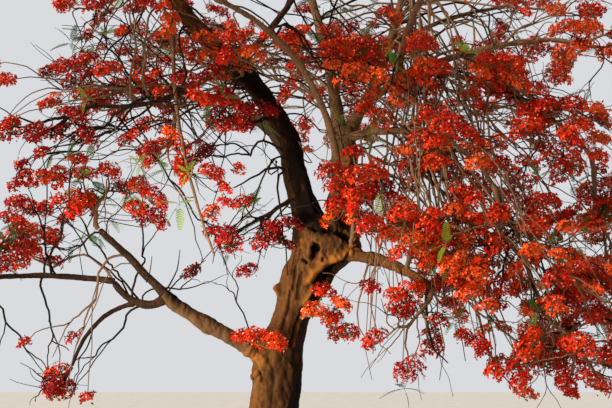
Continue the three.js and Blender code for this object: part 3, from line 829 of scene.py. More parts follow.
# The share of its twigs with the pale bark, more in the sun as painted light, and of its flowerless sprays with leaves
# at their ends
LIGHT_TWIGS = {SUNLIT: 0.58, MIXED: 0.3, SHADED: 0.15, DEEP: 0.1}
LEAFY_TWIGS = {SUNLIT: 0.12, MIXED: 0.3, SHADED: 0.18, DEEP: 0.1}

CLOSING_ZONES = (  # where the photograph's crown closes between one mass and the next
    Zone((450, -700, 5500), (950, 650, 480), 6, 10, SUNLIT),
    Zone((1250, -450, 4500), (650, 500, 650), 9, 12, SUNLIT),
    Zone((1200, -520, 3400), (450, 380, 560), 12, 3, SUNLIT),
    Zone((1950, -500, 5050), (950, 850, 750), 25, 18, SUNLIT),
    Zone((2300, -900, 3600), (1100, 850, 850), 40, 16, SUNLIT),
    Zone((3350, -1150, 2350), (1250, 750, 900), 36, 16, SUNLIT),
    Zone((3800, -300, 2200), (950, 850, 800), 26, 10, MIXED),
    Zone((-2900, -560, 2900), (1000, 600, 380), 7, 6, MIXED),
    # The crown's back, above what the photograph shows through the open left
    Zone((-1700, 2400, 6850), (1250, 1250, 400), 14, 3, MIXED),
    Zone((650, 2900, 6750), (1400, 1350, 480), 18, 6, MIXED),
    Zone((2600, 2500, 6700), (1350, 1300, 480), 14, 6, MIXED),
)


@dataclass(frozen=True)
class Drape:
    """A family of long thin stems that leave some limbs for some masses' spaces."""

    carriers: tuple[str, ...]
    span: tuple[float, float]  # how far along those limbs they may leave
    goals: tuple[str, ...]  # the masses that they reach
    count: int
    habit: Habit
    light: float  # the share of them with pale bark
    flowering: float  # the share of their ends that flower


DRAPES = (
    Drape(("centre_stem", "centre_right_stem", "centre_right_stem", "right_sweep"), (0.35, 0.85),
          ("right_fan", "right_droop", "right_fall", "right_skirt",
           "right_inner"), 34, DRAPED_HABIT, 0.85, 0.6),
    Drape(("right_reach", "centre_right_stem", "right_sweep", "high_right_bough"), (0.25, 0.9),
          ("right_shoulder", "right_far_fall", "right_end", "right_skirt",
           "right_fall"), 30, DRAPED_HABIT, 0.75, 0.6),
    Drape(("right_sweep", "right_fall"), (0.2, 0.7),
          ("right_skirt", "right_fall"), 14, DRAPED_HABIT, 0.8, 0.4),
    Drape(("left_leader_bend", "left_leader_top", "left_arm"), (0.2, 1),
          ("left_shoulder", "left_middle", "left_flank", "left_inner"),
          20, ARCHING_HABIT, 0.25, 0.35),
    Drape(("left_leader_foot", "left_leader_bend", "left_arm"), (0.3, 0.9),
          ("left_hanging", "leader_side", "left_inner"), 8, ARCHING_HABIT, 0.1, 0.4),
    Drape(("low_left_rise", "low_left_elbow", "low_left_reach"), (0.3, 1),
          ("left_lower", "low_left_end", "low_left_droop"), 14, ARCHING_HABIT, 0.15, 0.4),
    Drape(("front_arch", "cross_limb", "centre_left_stem", "centre_right_stem", "left_leader_top"),
          (0.2, 0.9), ("centre", "leader_front", "right_upper", "front"),
          26, ARCHING_HABIT, 0.5, 0.6),
    Drape(("back_bough", "back_left_bough", "back_right_bough", "high_right_bough"), (0.3, 0.95),
          ("back", "back_left", "left_back", "back_right", "high_right"),
          32, ARCHING_HABIT, 0.4, 0.7),
)


@dataclass(frozen=True)
class Shoot:
    """A single bare shoot that stands out in the photograph; it is carried on to the nearest limb."""

    places: tuple[Place, ...]
    girth: tuple[float, float]  # its radius at root and tip
    light: bool = False  # whether its bark is the pale kind


SHOOTS = (
    # Off the left leader: the hooked arm, the straight dead stub and two dark crossing twigs
    Shoot(((135, -230, 3991), (-23, -320, 3971), (-199, -400, 3850), (-424, -500, 3700)), (22, 11)),
    Shoot(((96, -230, 3940), (117, -300, 3610), (139, -300, 3253), (179, -300, 3017), (205, -300, 2695)),
          (17, 11)),
    Shoot(((250, -200, 3610), (41, -330, 3351), (-134, -380, 3174), (-521, -420, 2990)), (14, 5)),
    Shoot(((60, -330, 3360), (-20, -360, 3050), (-70, -380, 2880)), (9, 4)),
    # Off the low left bough
    Shoot(((-1197, -400, 2517), (-1069, -450, 2743), (-1033, -500, 2969)), (15, 6)),
    Shoot(((-1129, -400, 2554), (-914, -400, 2748), (-742, -400, 2865)), (12, 5)),
    Shoot(((-1416, -460, 2600), (-1366, -500, 2760), (-1354, -500, 2899)), (10, 5)),
    # The pale limb that hangs at the upper left
    Shoot(((-1199, -1250, 5644), (-1304, -1400, 5468), (-1340, -1400, 5189), (-1332, -1400, 4925)),
          (20, 9), True),
    # Hanging under the right bough: the hooked loop, its neighbour and the dark falling limb
    Shoot(((1150, -500, 2800), (1070, -620, 2570), (1000, -650, 2339), (1015, -650, 2053),
           (1190, -700, 1846)), (17, 9), True),
    Shoot(((1230, -560, 2800), (1150, -640, 2435), (1240, -660, 1900), (1360, -700, 1780)), (14, 6), True),
    Shoot(((1740, -1000, 2508), (1775, -1100, 1848), (1915, -1200, 1679)), (26, 9)),
    Shoot(((1073, -100, 4227), (1196, -400, 3574), (1121, -600, 2386), (1148, -700, 1498)), (15, 5), True),
    # The fan that sweeps down to the right
    Shoot(((1285, 0, 4789), (2047, -600, 3537), (2291, -1200, 1888), (2568, -1300, 1433)), (24, 8), True),
    Shoot(((1520, 0, 4466), (1900, -500, 3500), (1958, -1000, 2530), (2100, -1200, 1700)), (20, 7), True),
    Shoot(((1320, -100, 4500), (2300, -700, 3300), (3112, -1200, 2024), (3500, -1200, 1500)), (22, 7), True),
    Shoot(((1180, -100, 4100), (1650, -600, 3400), (1900, -900, 2300), (1850, -1000, 1500)), (16, 6), True),
)


@dataclass
class Spots:
    """Places on limbs and twigs that finer twigs can leave."""

    LIMB_STEP = 130.0
    FIRST_ON_LIMB = 0.15
    TWIG_SHARES = np.array([0.2, 0.4, 0.6, 0.8])
    CLEAN = ("trunk", "low_left_bough", "right_bough")  # limbs that no fine twig leaves

    places: Array
    tangents: Array
    radii: Array
    limbs: list[str | None]  # the limb that each is on, or nothing on a twig

    @classmethod
    def gathered(cls, limbs: dict[str, Limb], twigs: list[Twig]) -> "Spots":
        """Collects the spots of every bough and of the source's twigs.

        Args:
            limbs: Every limb of the tree, by name.
            twigs: The source's twigs.

        Returns:
            The spots.
        """
        rows, names = [], []
        for name, limb in limbs.items():
            if name not in cls.CLEAN:
                shares = np.linspace(cls.FIRST_ON_LIMB, 1, max(3, round(limb.length / cls.LIMB_STEP)))
                rows.append((limb.curve.point_at(shares), limb.curve.tangent_at(shares), limb.girth(shares)))
                names += [name] * len(shares)
        shares = cls.TWIG_SHARES
        for twig in twigs:
            places = twig.curve.point(shares)
            tangents = unit(twig.curve.point(shares + 0.05) - places)
            rows.append((places, tangents, np.full(len(shares), twig.radius)))
            names += [None] * len(shares)
        return cls(*(np.concatenate(part) for part in zip(*rows)), names)


class FineGrowth(Brancher):
    """All that is finer than the source's twigs: flowering and bare twigs, and what they end in."""

    SEED = 5000
    TRIES_PER_HEAD = 9
    CROWDING = 0.6  # how near two heads may be, as a share of their radii together
    CLUMPING = 0.7  # how many heads stand beside another of their zone
    BESIDE = 0.68  # how far such a head is from the other, as a share of their radii together
    LOWEST = 1150.0  # no twig hangs lower than this
    BOX_SHARE = 0.02  # how far past the solids' box the crown may reach, as a share of each side
    HEADS_PER_TWIG = 4
    OF_ONE_TINT = 0.7  # how many heads of a spray have its own tint
    WEEPING_HEIGHT = 4600.0  # above it the heads lie in tiers, and below it they hang down the stems
    TIERED, HANGING = 0.45, 0.8  # how far up or down of each other the heads of a clump lie
    LIMB_HANDICAP = 350.0  # how much nearer than a twig a limb has to be for a head to hang on it
    STEM_ROOT = 15.5  # the most that a long stem's root radius is
    SOURCE_HEADS, FULL_HEADS, END_HEADS = (140, 200), (120, 205), (105, 160)  # radii
    SET_IN = 0.35  # how far a head's middle is past its twig's end, as a share of its radius

    def __init__(self, limbs: dict[str, Limb], wood: Obstacles, grown: list[SourceGrowth]) -> None:
        """Takes the source's twigs as what it grows on.

        Args:
            limbs: Every limb of the tree, by name.
            wood: The limbs as obstacles.
            grown: The masses as the source grows them.
        """
        super().__init__(self.SEED, wood)
        self.limbs = limbs
        self.heads: list[Head] = []
        self.leaf_sprays: list[LeafSpray] = []
        low, high = (np.array(corner, float) / METRES for corner in CAD_BOX)
        margin = self.BOX_SHARE * (high - low)
        self.low = np.maximum(low - margin, [-1e9, -1e9, self.LOWEST])
        self.high = high + margin
        self.spots = Spots.gathered(limbs, [twig for growth in grown for twig in growth.twigs])
        for growth in grown:
            for twig in growth.twigs:
                if twig.tipped:
                    self.crown(twig, growth.mass.mood, self.SOURCE_HEADS, lift=1.0, boxed=False)

    def crown(self, twig: Twig, mood: Mood, sizes: tuple[float, float], lift: float, boxed: bool) -> None:
        """Sets a head of flowers on a twig's end.

        Args:
            twig: The twig.
            mood: Which reds it may have.
            sizes: The least and the greatest radius that it may have.
            lift: How strongly it turns up.
            boxed: Whether it is left out where it would leave the crown's box.
        """
        radius = self.chance.between(*sizes)
        facing = unit(twig.arriving + lift * UP)
        place = twig.end + self.SET_IN * radius * facing
        if not boxed or self.is_in_box(place, radius):
            self.heads.append(Head(place, facing, radius, self.chance.pick(TINTS_OF_MOOD[mood])))

    def is_in_box(self, place: Array, radius: float) -> bool:
        """Whether a ball stays within the solids' box, or hardly outside it."""
        return bool((place - radius >= self.low).all() and (place + radius <= self.high).all())

    def ends_about(self, goal: Array, stray: float, most: tuple[float, float], room: float) -> list[Array]:
        """A few ends round a goal, those outside the crown's box left out.

        Args:
            goal: What they lie round.
            stray: How far from it they may be.
            most: The least and the greatest number of them.
            room: How far inside the box they have to be.

        Returns:
            The ends.
        """
        ends = [goal + self.chance.stray(stray) for _ in range(round(self.chance.between(*most)))]
        return [end for end in ends if self.is_in_box(end, room)]

    def grow_drape(self, drape: Drape) -> None:
        """Grows one family of long thin stems, with small heads of flowers on some of their ends.

        Args:
            drape: The family.
        """
        goals = [mass for mass in MASSES if mass.label in drape.goals]
        for _ in range(drape.count):
            self.carrier = self.chance.pick(drape.carriers)
            limb = self.limbs[self.carrier]
            share = np.array(self.chance.between(*drape.span))
            start = limb.curve.point_at(share)
            mass = self.chance.pick(goals)
            goal = self.place_inside(np.array(mass.centre, float), np.array(mass.reach) * 1.1)
            ends = self.ends_about(goal, 380, (1.6, 4.4), room=140)
            if not ends:
                continue
            self.is_light = self.chance.next() < drape.light
            before = len(self.twigs)
            leaving = unit(limb.curve.tangent_at(share) + 1.2 * towards(start, goal) + 0.3 * UP)
            self.branch_out(start, leaving, ends, drape.habit, self.STEM_ROOT, is_stem=True)
            for twig in self.twigs[before:]:
                if twig.tipped and self.chance.next() < drape.flowering:
                    self.crown(twig, mass.mood, self.END_HEADS, lift=1.8, boxed=True)

    def fill(self, zone: Zone) -> None:
        """Fills a zone with heads of flowers wherever one fits, and grows twigs to them.

        Args:
            zone: The space to be filled.
        """
        taken = list(self.heads)
        centre = np.array(zone.centre, float)
        flatness = self.TIERED if centre[2] > self.WEEPING_HEIGHT else self.HANGING
        added: list[Head] = []
        for _ in range(zone.heads):
            radius = self.chance.between(*self.FULL_HEADS)
            beside = self.chance.pick(added) if added and self.chance.next() < self.CLUMPING else None
            for _ in range(self.TRIES_PER_HEAD):
                if beside:
                    way = unit(self.chance.stray(1) * np.array([1, 1, flatness]))
                    place = beside.place + self.BESIDE * (beside.radius + radius) * way
                else:
                    place = self.place_inside(centre, np.array(zone.reach) - 0.6 * radius)
                gaps = np.linalg.norm(np.array([head.place for head in taken]) - place, axis=1)
                if (gaps < self.CROWDING * (np.array([head.radius for head in taken]) + radius)).any():
                    continue
                if not self.is_in_box(place, radius) or not self.is_clear(place[None], 0.8 * radius):
                    continue
                facing = unit(towards(centre, place) + 1.7 * UP + self.chance.stray(0.4))
                added.append(Head(place, facing, radius, Tint.FLAME))
                taken.append(added[-1])
                break
        self.attach(added, zone.mood)

    def attach(self, heads: list[Head], mood: Mood) -> None:
        """Grows twigs to heads, a few together, from the spots nearest to them.

        Args:
            heads: The heads, whose tints are dealt out here by spray.
            mood: Which reds they have.
        """
        families: dict[int, list[Head]] = {}
        handicap = np.array([self.LIMB_HANDICAP if name else 0.0 for name in self.spots.limbs])
        for head in heads:
            distances = np.linalg.norm(self.spots.places - head.foot, axis=1) + handicap
            families.setdefault(int(np.argmin(distances)), []).append(head)
        tints = TINTS_OF_MOOD[mood]
        for spot, family in families.items():
            for i in range(0, len(family), self.HEADS_PER_TWIG):
                spray = family[i:i + self.HEADS_PER_TWIG]
                tint = self.chance.pick(tints)
                for head in spray:
                    head.tint = tint if self.chance.next() < self.OF_ONE_TINT else self.chance.pick(tints)
                self.is_light = self.chance.next() < LIGHT_TWIGS[mood]
                self.sprout(spot, [head.foot for head in spray], FLOWERING_HABIT)
                self.heads += spray

    def sprout(self, spot: int, ends: list[Array], habit: Habit) -> list[Twig]:
        """Grows one branch from a spot.

        Args:
            spot: The spot's number.
            ends: Where the branch ends.
            habit: How it grows.

        Returns:
            Its twigs.
        """
        start = self.spots.places[spot]
        self.carrier = self.spots.limbs[spot]
        leaving = unit(0.8 * self.spots.tangents[spot] + towards(start, np.mean(ends, axis=0)))
        before = len(self.twigs)
        self.branch_out(start, leaving, ends, habit, 0.7 * float(self.spots.radii[spot]),
                        is_stem=self.carrier is not None)
        return self.twigs[before:]

    def grow_bare(self, zone: Zone) -> None:
        """Grows a zone's flowerless twigs, and the few tufts of leaves that they end in.

        Args:
            zone: The space that they run through.
        """
        centre, reach = np.array(zone.centre, float), np.array(zone.reach, float)
        for _ in range(zone.bare):
            goal = self.place_inside(centre, reach)
            distances = np.linalg.norm(self.spots.places - goal, axis=1)
            near = np.flatnonzero((distances > 250) & (distances < 1000))
            ends = self.ends_about(goal, 240, (0.6, 4.4), room=30)
            if not len(near) or not ends:
                continue
            self.is_light = self.chance.next() < LIGHT_TWIGS[zone.mood]
            tipped = [twig for twig in self.sprout(self.chance.pick(near), ends, BARE_HABIT) if twig.tipped]
            if tipped and self.chance.next() < LEAFY_TWIGS[zone.mood]:
                end, length = tipped[0].end, self.chance.between(160, 300)
                if self.is_in_box(end, 0.8 * length):
                    leaves = round(self.chance.between(3, 6))
                    young = self.chance.next() < 0.5
                    self.leaf_sprays.append(LeafSpray(end, tipped[0].arriving, length, leaves, young))

    def add_shoot(self, shoot: Shoot) -> None:
        """Adds one single shoot, carried on to the nearest limb.

        Args:
            shoot: The shoot.
        """
        places = np.array(shoot.places, float)
        wood = [name is not None for name in self.spots.limbs]
        clean = [self.limbs[name].curve.point_at(EVEN) for name in ("right_bough", "low_left_bough")]
        roots = np.vstack([self.spots.places[wood], *clean])
        root = roots[np.argmin(np.linalg.norm(roots - places[0], axis=1))]
        curve = StationCurve(np.vstack([root, places]))
        thick, thin = shoot.girth
        self.twigs.append(Twig(curve, thin, thick, unit(places[-1] - places[-2]), True, shoot.light))


@dataclass
class Shape:
    """Vertices and triangles, in metres, that are yet to become a mesh."""

    vertices: Array
    triangles: Array

    @staticmethod
    def joined(shapes: Sequence["Shape"]) -> "Shape":
        """Several shapes as one.

        Args:
            shapes: The shapes.

        Returns:
            All their vertices and triangles.
        """
        starts = np.cumsum([0] + [len(shape.vertices) for shape in shapes[:-1]])
        vertices = np.concatenate([shape.vertices for shape in shapes])
        triangles = np.concatenate([shape.triangles + start for shape, start in zip(shapes, starts)])
        return Shape(vertices, triangles)

    def stamped(self, places: Array, frames: Array, sizes: Array, other: "Shape | None" = None,
                blend: Array | None = None) -> "Shape":
        """Copies of the shape, each turned, sized and placed.

        Args:
            places: Where each copy's own origin goes.
            frames: Each copy's three axes, as the columns of a matrix.
            sizes: Each copy's size, as a share of the shape's own.
            other: A second form of the same shape.
            blend: How far each copy is from the first form to the second.

        Returns:
            All the copies as one shape.
        """
        base = np.broadcast_to(self.vertices, (len(places),) + self.vertices.shape)
        if other is not None:
            base = base + blend[:, None, None] * (other.vertices - self.vertices)
        turned = np.einsum("nij,nvj->nvi", frames, base) * sizes[:, None, None]
        return Shape((turned + places[:, None, :]).reshape(-1, 3),
                     repeated(self.triangles, len(places), len(self.vertices)))


def repeated(triangles: Array, count: int, vertices: int) -> Array:
    """The triangles of many copies, each with so many vertices of its own."""
    return (triangles[None] + (np.arange(count) * vertices)[:, None, None]).reshape(-1, 3)


def frames_facing(facings: Array, turns: Array) -> Array:
    """Axes whose third is a given direction, turned about it by given angles.

    Args:
        facings: The directions.
        turns: The angles.

    Returns:
        One matrix for each, with the axes as its columns.
    """
    helper = np.where(np.abs(facings[:, 2:]) < 0.9, UP, np.array([1.0, 0.0, 0.0]))
    across = unit(np.cross(helper, facings))
    beside = np.cross(facings, across)
    cos, sin = np.cos(turns)[:, None], np.sin(turns)[:, None]
    return np.stack([across * cos + beside * sin, beside * cos - across * sin, facings], axis=2)


def tubes(paths: Array, radii: Array, sides: int, capped: bool = True) -> Shape:
    """Tubes along many paths at once.

    Args:
        paths: For each tube, its places in order.
        radii: For each tube, its radius at each place.
        sides: How many sides each has.
        capped: Whether their ends are closed.

    Returns:
        All the tubes as one shape.
    """
    count, rings, _ = paths.shape
    tangents = unit(np.gradient(paths, axis=1))
    least = np.argmin(np.abs(tangents).max(axis=1), axis=1)
    helper = np.eye(3)[least][:, None, :]
    across = unit(helper - (helper * tangents).sum(axis=2, keepdims=True) * tangents)
    beside = np.cross(tangents, across)
    angles = np.arange(sides) * 2 * math.pi / sides
    cos, sin = np.cos(angles)[:, None], np.sin(angles)[:, None]
    spokes = across[:, :, None, :] * cos + beside[:, :, None, :] * sin
    vertices = paths[:, :, None, :] + radii[:, :, None, None] * spokes
    ring_starts = np.arange(rings - 1)[:, None] * sides
    here = ring_starts + np.arange(sides)
    beyond = ring_starts + (np.arange(sides) + 1) % sides
    triangles = np.concatenate([np.stack(corners, axis=-1).reshape(-1, 3) for corners in (
        (here, beyond, beyond + sides), (here, beyond + sides, here + sides))])
    if capped:
        fan = np.array([[0, i + 1, i] for i in range(1, sides - 1)])
        triangles = np.concatenate([triangles, fan, fan[:, ::-1] + (rings - 1) * sides])
    return Shape(vertices.reshape(-1, 3), repeated(triangles, count, rings * sides))


def put_in_scene(thing: Piece) -> None:
    """Puts a new object into the scene."""
    bpy.context.scene.collection.objects.link(thing)


def mesh_object(name: str, shape: Shape, material: Material) -> Piece:
    """Makes a shape a mesh object at the origin.

    Args:
        name: The piece's name.
        shape: Its vertices and triangles.
        material: Its material.

    Returns:
        The object.
    """
    mesh = bpy.data.meshes.new(name)
    mesh.vertices.add(len(shape.vertices))
    mesh.vertices.foreach_set("co", shape.vertices.astype(np.float32).ravel())
    mesh.loops.add(3 * len(shape.triangles))
    mesh.loops.foreach_set("vertex_index", shape.triangles.astype(np.int32).ravel())
    mesh.polygons.add(len(shape.triangles))
    mesh.polygons.foreach_set("loop_start", np.arange(0, 3 * len(shape.triangles), 3, dtype=np.int32))
    mesh.update(calc_edges=True)
    mesh.shade_smooth()
    mesh.materials.append(material)
    piece = bpy.data.objects.new(name, mesh)
    put_in_scene(piece)
    return piece


def mesh_objects(name: str, shape: Shape, material: Material) -> list[Piece]:
    """Makes a large shape one or more mesh objects, none with more triangles than a piece may have.

    Args:
        name: The first piece's name; the others have a number after it.
        shape: Its vertices and triangles, those of each small part together.
        material: Their material.

    Returns:
        The objects.
    """
    highest = np.maximum.accumulate(shape.triangles.max(axis=1))
    lowest = np.minimum.accumulate(shape.triangles.min(axis=1)[::-1])[::-1]
    seams = np.append(np.flatnonzero(highest[:-1] < lowest[1:]) + 1, len(shape.triangles))
    pieces, start = [], 0
    while start < len(shape.triangles):
        end = int(seams[np.searchsorted(seams, start + PIECE_LIMIT, side="right") - 1])
        part = shape.triangles[start:end]
        first = int(part.min())
        vertices = shape.vertices[first:int(part.max()) + 1]
        label = f"{name}_{len(pieces) + 1}" if pieces else name
        pieces.append(mesh_object(label, Shape(vertices, part - first), material))
        start = end
    return pieces


def settle(piece: Piece, replaced: Sequence[str] = (), slot: str | None = None) -> None:
    """Fixes a finished piece to the tree and reports it.

    Args:
        piece: The piece.
        replaced: The nodes that it stands for.
        slot: The record's material slot that it takes its finish from.
    """
    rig.ride(piece, BODY)
    if replaced:
        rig.replaces(piece, *replaced)
    if slot:
        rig.slot(piece, slot)
    triangles = sum(len(polygon.vertices) - 2 for polygon in piece.data.polygons)
    log.info("%s: %d triangles", piece.name, triangles)


def linear(hex_colour: str) -> tuple[float, float, float, float]:
    """An sRGB colour as Blender's linear one.

    Args:
        hex_colour: Six hexadecimal digits after a number sign.

    Returns:
        Red, green, blue and a full alpha.
    """
    parts = [int(hex_colour[i:i + 2], 16) / 255 for i in (1, 3, 5)]
    shades = [part / 12.92 if part <= 0.04045 else ((part + 0.055) / 1.055) ** 2.4 for part in parts]
    return (shades[0], shades[1], shades[2], 1.0)


def add_node(tree: Tree, kind: str, values: dict[str | int, object] | None = None,
             links: dict[str | int, Socket] | None = None, **settings: object) -> Node:
    """Adds one shader node with its settings and links.

    Args:
        tree: The material's or world's node tree.
        kind: The node's type.
        values: What its unlinked inputs are set to.
        links: The outputs that its other inputs take.
        **settings: The node's own properties.

    Returns:
        The node.
    """
    node = tree.nodes.new(kind)
    for name, value in settings.items():
        setattr(node, name, value)
    for socket, value in (values or {}).items():
        node.inputs[socket].default_value = value
    for socket, source in (links or {}).items():
        tree.links.new(source, node.inputs[socket])
    return node


def new_tree(name: str) -> tuple[Material, Tree]:
    """An empty node-based material and its node tree.

    Args:
        name: What the material is.

    Returns:
        The two.
    """
    material = bpy.data.materials.new(name)
    material.use_nodes = True
    material.node_tree.nodes.clear()
    return material, material.node_tree


def set_stops(node: Node, stops: Sequence[tuple[float, str]]) -> Socket:
    """Gives a colour ramp its stops.

    Args:
        node: The ramp.
        stops: Each stop's place and its sRGB colour.

    Returns:
        The ramp's colour.
    """
    elements = node.color_ramp.elements
    while len(elements) < len(stops):
        elements.new(0.5)
    for element, (place, colour) in zip(elements, stops):
        element.position = place
        element.color = linear(colour)
    return node.outputs["Color"]


def end_in_relief(tree: Tree, height: Socket, relief: dict[str, float], values: dict[str, object],
                  links: dict[str, Socket]) -> None:
    """Ends a material in a surface with a fine relief.

    Args:
        tree: The material's node tree.
        height: What the relief rises with.
        relief: Its strength and its depth in metres.
        values: What the surface's unlinked inputs are set to.
        links: The outputs that its other inputs take.
    """
    bump = add_node(tree, "ShaderNodeBump", relief, {"Height": height})
    links = links | {"Normal": bump.outputs["Normal"]}
    shader = add_node(tree, "ShaderNodeBsdfPrincipled", values, links)
    add_node(tree, "ShaderNodeOutputMaterial", links={"Surface": shader.outputs["BSDF"]})


@dataclass(frozen=True)
class BarkFinish:
    """Living bark: mottled in soft patches, streaked along the limb, with a fine rough grain."""

    name: str  # what the material is
    dark: str  # the colour of its streaks and pits
    body: str  # its main colour
    worn: str  # the colour of what stands out and weathers
    film: str  # the pale film in patches
    streak_mm: float  # how wide its streaks are
    grain_mm: float  # how wide its grain is
    patch_mm: float  # how wide the patches of colour are
    relief_mm: float  # how deep the grain is
    stretch: float  # how much longer the streaks are than they are wide
    marks: tuple[tuple[str, str], ...] = ()  # the mesh's own attributes and the colours they lay over it

    def material(self) -> Material:
        """Builds the bark's material.

        Returns:
            The material.
        """
        material, tree = new_tree(self.name)
        place = add_node(tree, "ShaderNodeTexCoord").outputs["Object"]
        tall = (1.0, 1.0, 1.0 / self.stretch)
        along = add_node(tree, "ShaderNodeMapping", {"Scale": tall}, {"Vector": place}).outputs["Vector"]
        patches, streaks, grain = [
            add_node(tree, "ShaderNodeTexNoise", {"Scale": 1 / (size_mm * METRES), "Detail": 6.0,
                                                  "Roughness": roughness}, {"Vector": vector}).outputs["Fac"]
            for vector, size_mm, roughness in ((place, self.patch_mm, 0.6), (along, self.streak_mm, 0.65),
                                               (place, self.grain_mm, 0.75))]
        tone = add_node(tree, "ShaderNodeMix", {0: 0.45}, {2: streaks, 3: grain}).outputs[0]
        colour = set_stops(add_node(tree, "ShaderNodeValToRGB", links={"Fac": tone}),
                           [(0.35, self.dark), (0.48, self.body), (0.62, self.worn)])
        shares = [("ShaderNodeMapRange", {"From Min": low, "From Max": high, "To Max": most},
                   {"Value": patches}, {}, "Result", over)
                  for low, high, most, over in ((0.5, 0.7, 0.6, self.film), (0.46, 0.3, 0.55, self.dark))]
        shares += [("ShaderNodeAttribute", {}, {}, {"attribute_name": name}, "Fac", over)
                   for name, over in self.marks]
        for kind, values, links, settings, output, over in shares:
            share = add_node(tree, kind, values, links, **settings).outputs[output]
            mix = add_node(tree, "ShaderNodeMix", {7: linear(over)}, {0: share, 6: colour}, data_type="RGBA")
            colour = mix.outputs[2]
        end_in_relief(tree, tone, {"Strength": 0.85, "Distance": self.relief_mm * METRES},
                      {"Roughness": 0.9, "Specular IOR Level": 0.15}, {"Base Color": colour})
        return material


# Old bark of the trunk: warm brown; what stands out is painted pale, partly wear and partly a painted highlight;
# painted shade makes its hollows nearly black and darkens the crown-shaded parts, the side away from the light and the
# left leader's own dark bark
TRUNK_BARK = BarkFinish("weathered_trunk_bark", "#241006", "#643A14", "#8E5A22", "#785030",
                        streak_mm=30, grain_mm=8, patch_mm=150, relief_mm=16, stretch=3.0,
                        marks=(("greyness", "#86684A"), ("worn", "#B06F2C"), ("darkness", "#0C0502"),
                               ("cavity", "#080402")))
# Younger bark of the boughs: smoother and greyer, with fine lengthwise streaks
BOUGH_BARK = BarkFinish("grey_bough_bark", "#3A281B", "#74563B", "#967551", "#866749",
                        streak_mm=18, grain_mm=7, patch_mm=120, relief_mm=6, stretch=2.2)
# The same bark where the crown shades it: dark umber, which reads nearly black against the sky
SHADED_BARK = BarkFinish("shaded_bough_bark", "#170E08", "#35231A", "#5A402C", "#483323",
                         streak_mm=18, grain_mm=7, patch_mm=120, relief_mm=6, stretch=2.2)


@dataclass(frozen=True)
class PlainFinish:
    """A plain colour with a fine unevenness, for the many small pieces of the crown."""

    name: str  # what the material is
    colour: str
    roughness: float
    grain_mm: float  # how wide its unevenness is
    relief_mm: float  # how deep that is

    def material(self) -> Material:
        """Builds the finish's material.

        Returns:
            The material.
        """
        material, tree = new_tree(self.name)
        place = add_node(tree, "ShaderNodeTexCoord").outputs["Object"]
        grain = add_node(tree, "ShaderNodeTexNoise", {"Scale": 1 / (self.grain_mm * METRES),
                                                      "Detail": 3.0}, {"Vector": place})
        end_in_relief(tree, grain.outputs["Fac"], {"Strength": 0.6, "Distance": self.relief_mm * METRES},
                      {"Base Color": linear(self.colour), "Roughness": self.roughness,
                       "Specular IOR Level": 0.12}, {})
        return material


# Petals: thin, soft and finely crinkled, so they scatter light with hardly any gloss
PETALS = {tint: PlainFinish(f"{tint.value}_petal", colour, roughness, 9, 1.5) for tint, colour, roughness in (
    (Tint.FLAME, "#E2340A", 0.6), (Tint.ORANGE, "#EE561A", 0.6), (Tint.SCARLET, "#CB2009", 0.6),
    (Tint.CRIMSON, "#A51214", 0.6), (Tint.MAROON, "#7C0F16", 0.62))}
# The one upright petal of each flower: pale with a yellow flush
STANDARD_PETAL = PlainFinish("pale_standard_petal", "#F8B48C", 0.6, 9, 1.0)
# Unopened buds: leathery, dark green with a red cast
BUD_SKIN = PlainFinish("green_bud", "#4A4A1E", 0.6, 6, 0.8)
# Flower stalks: fresh green-brown
STALK_SKIN = PlainFinish("flower_stalk", "#6E5A2C", 0.65, 6, 0.5)
# Twigs: pale grey-tan and dark umber, lit and shaded copies of one bark; the pale is dealt out mostly to sunlit masses
# as painted light, the umber mostly where the crown shades them as painted shade
PALE_TWIG = PlainFinish("pale_twig_bark", "#86684E", 0.85, 12, 1.5)
DARK_TWIG = PlainFinish("dark_twig_bark", "#2F2119", 0.88, 12, 1.5)
# Leaflets: soft mid green when grown, yellow-green when young
GROWN_LEAF = PlainFinish("grown_leaflet", "#3F6420", 0.6, 8, 0.6)
YOUNG_LEAF = PlainFinish("young_leaflet", "#86A030", 0.6, 8, 0.6)


@dataclass(frozen=True)
class Feature:
    """A form on the trunk's surface: a swelling, ridge or hollow along a short path."""

    path: tuple[Place, ...]  # each place is moved to the nearest bark
    width: float  # how far it reaches to each side
    height: float  # how far it stands out, or in where negative
    rim: float = 0.0  # how far the callus round a hollow stands out


def buttresses() -> tuple[Feature, ...]:
    """The root flare's ridges, on the lobes that the trunk's solid has.

    Returns:
        One ridge for each lobe.
    """
    ridges = []
    for i in range(ROOT_LOBES):
        turn = 2 * math.pi * i / ROOT_LOBES
        out = np.array([-math.sin(turn), -math.cos(turn)])
        steps = ((0, 455), (110, 395), (260, 330), (ROOT_LOBE_HEIGHT, 300), (700, 280))
        path = tuple((*(out * radius), height) for height, radius in steps)
        ridges.append(Feature(path, 85, 42))
    return tuple(ridges)


SHADES = (  # painted shade where the crown and the ground keep the bark darker: the place, the reach and how far
    ((500, -220, 3470), 180, 0.85), ((640, -220, 3360), 120, 0.6), ((430, -200, 3380), 90, 0.4),
    ((560, -370, 3270), 75, 0.8), ((650, -380, 3245), 75, 0.7), ((740, -365, 3235), 80, 0.5),
    ((860, -200, 3330), 90, 0.45), ((-80, -220, 1350), 620, 0.28),
    ((-1360, -420, 2580), 330, 0.85), ((90, -120, 2540), 70, 0.6), ((-230, -180, 1600), 90, 0.5),
)

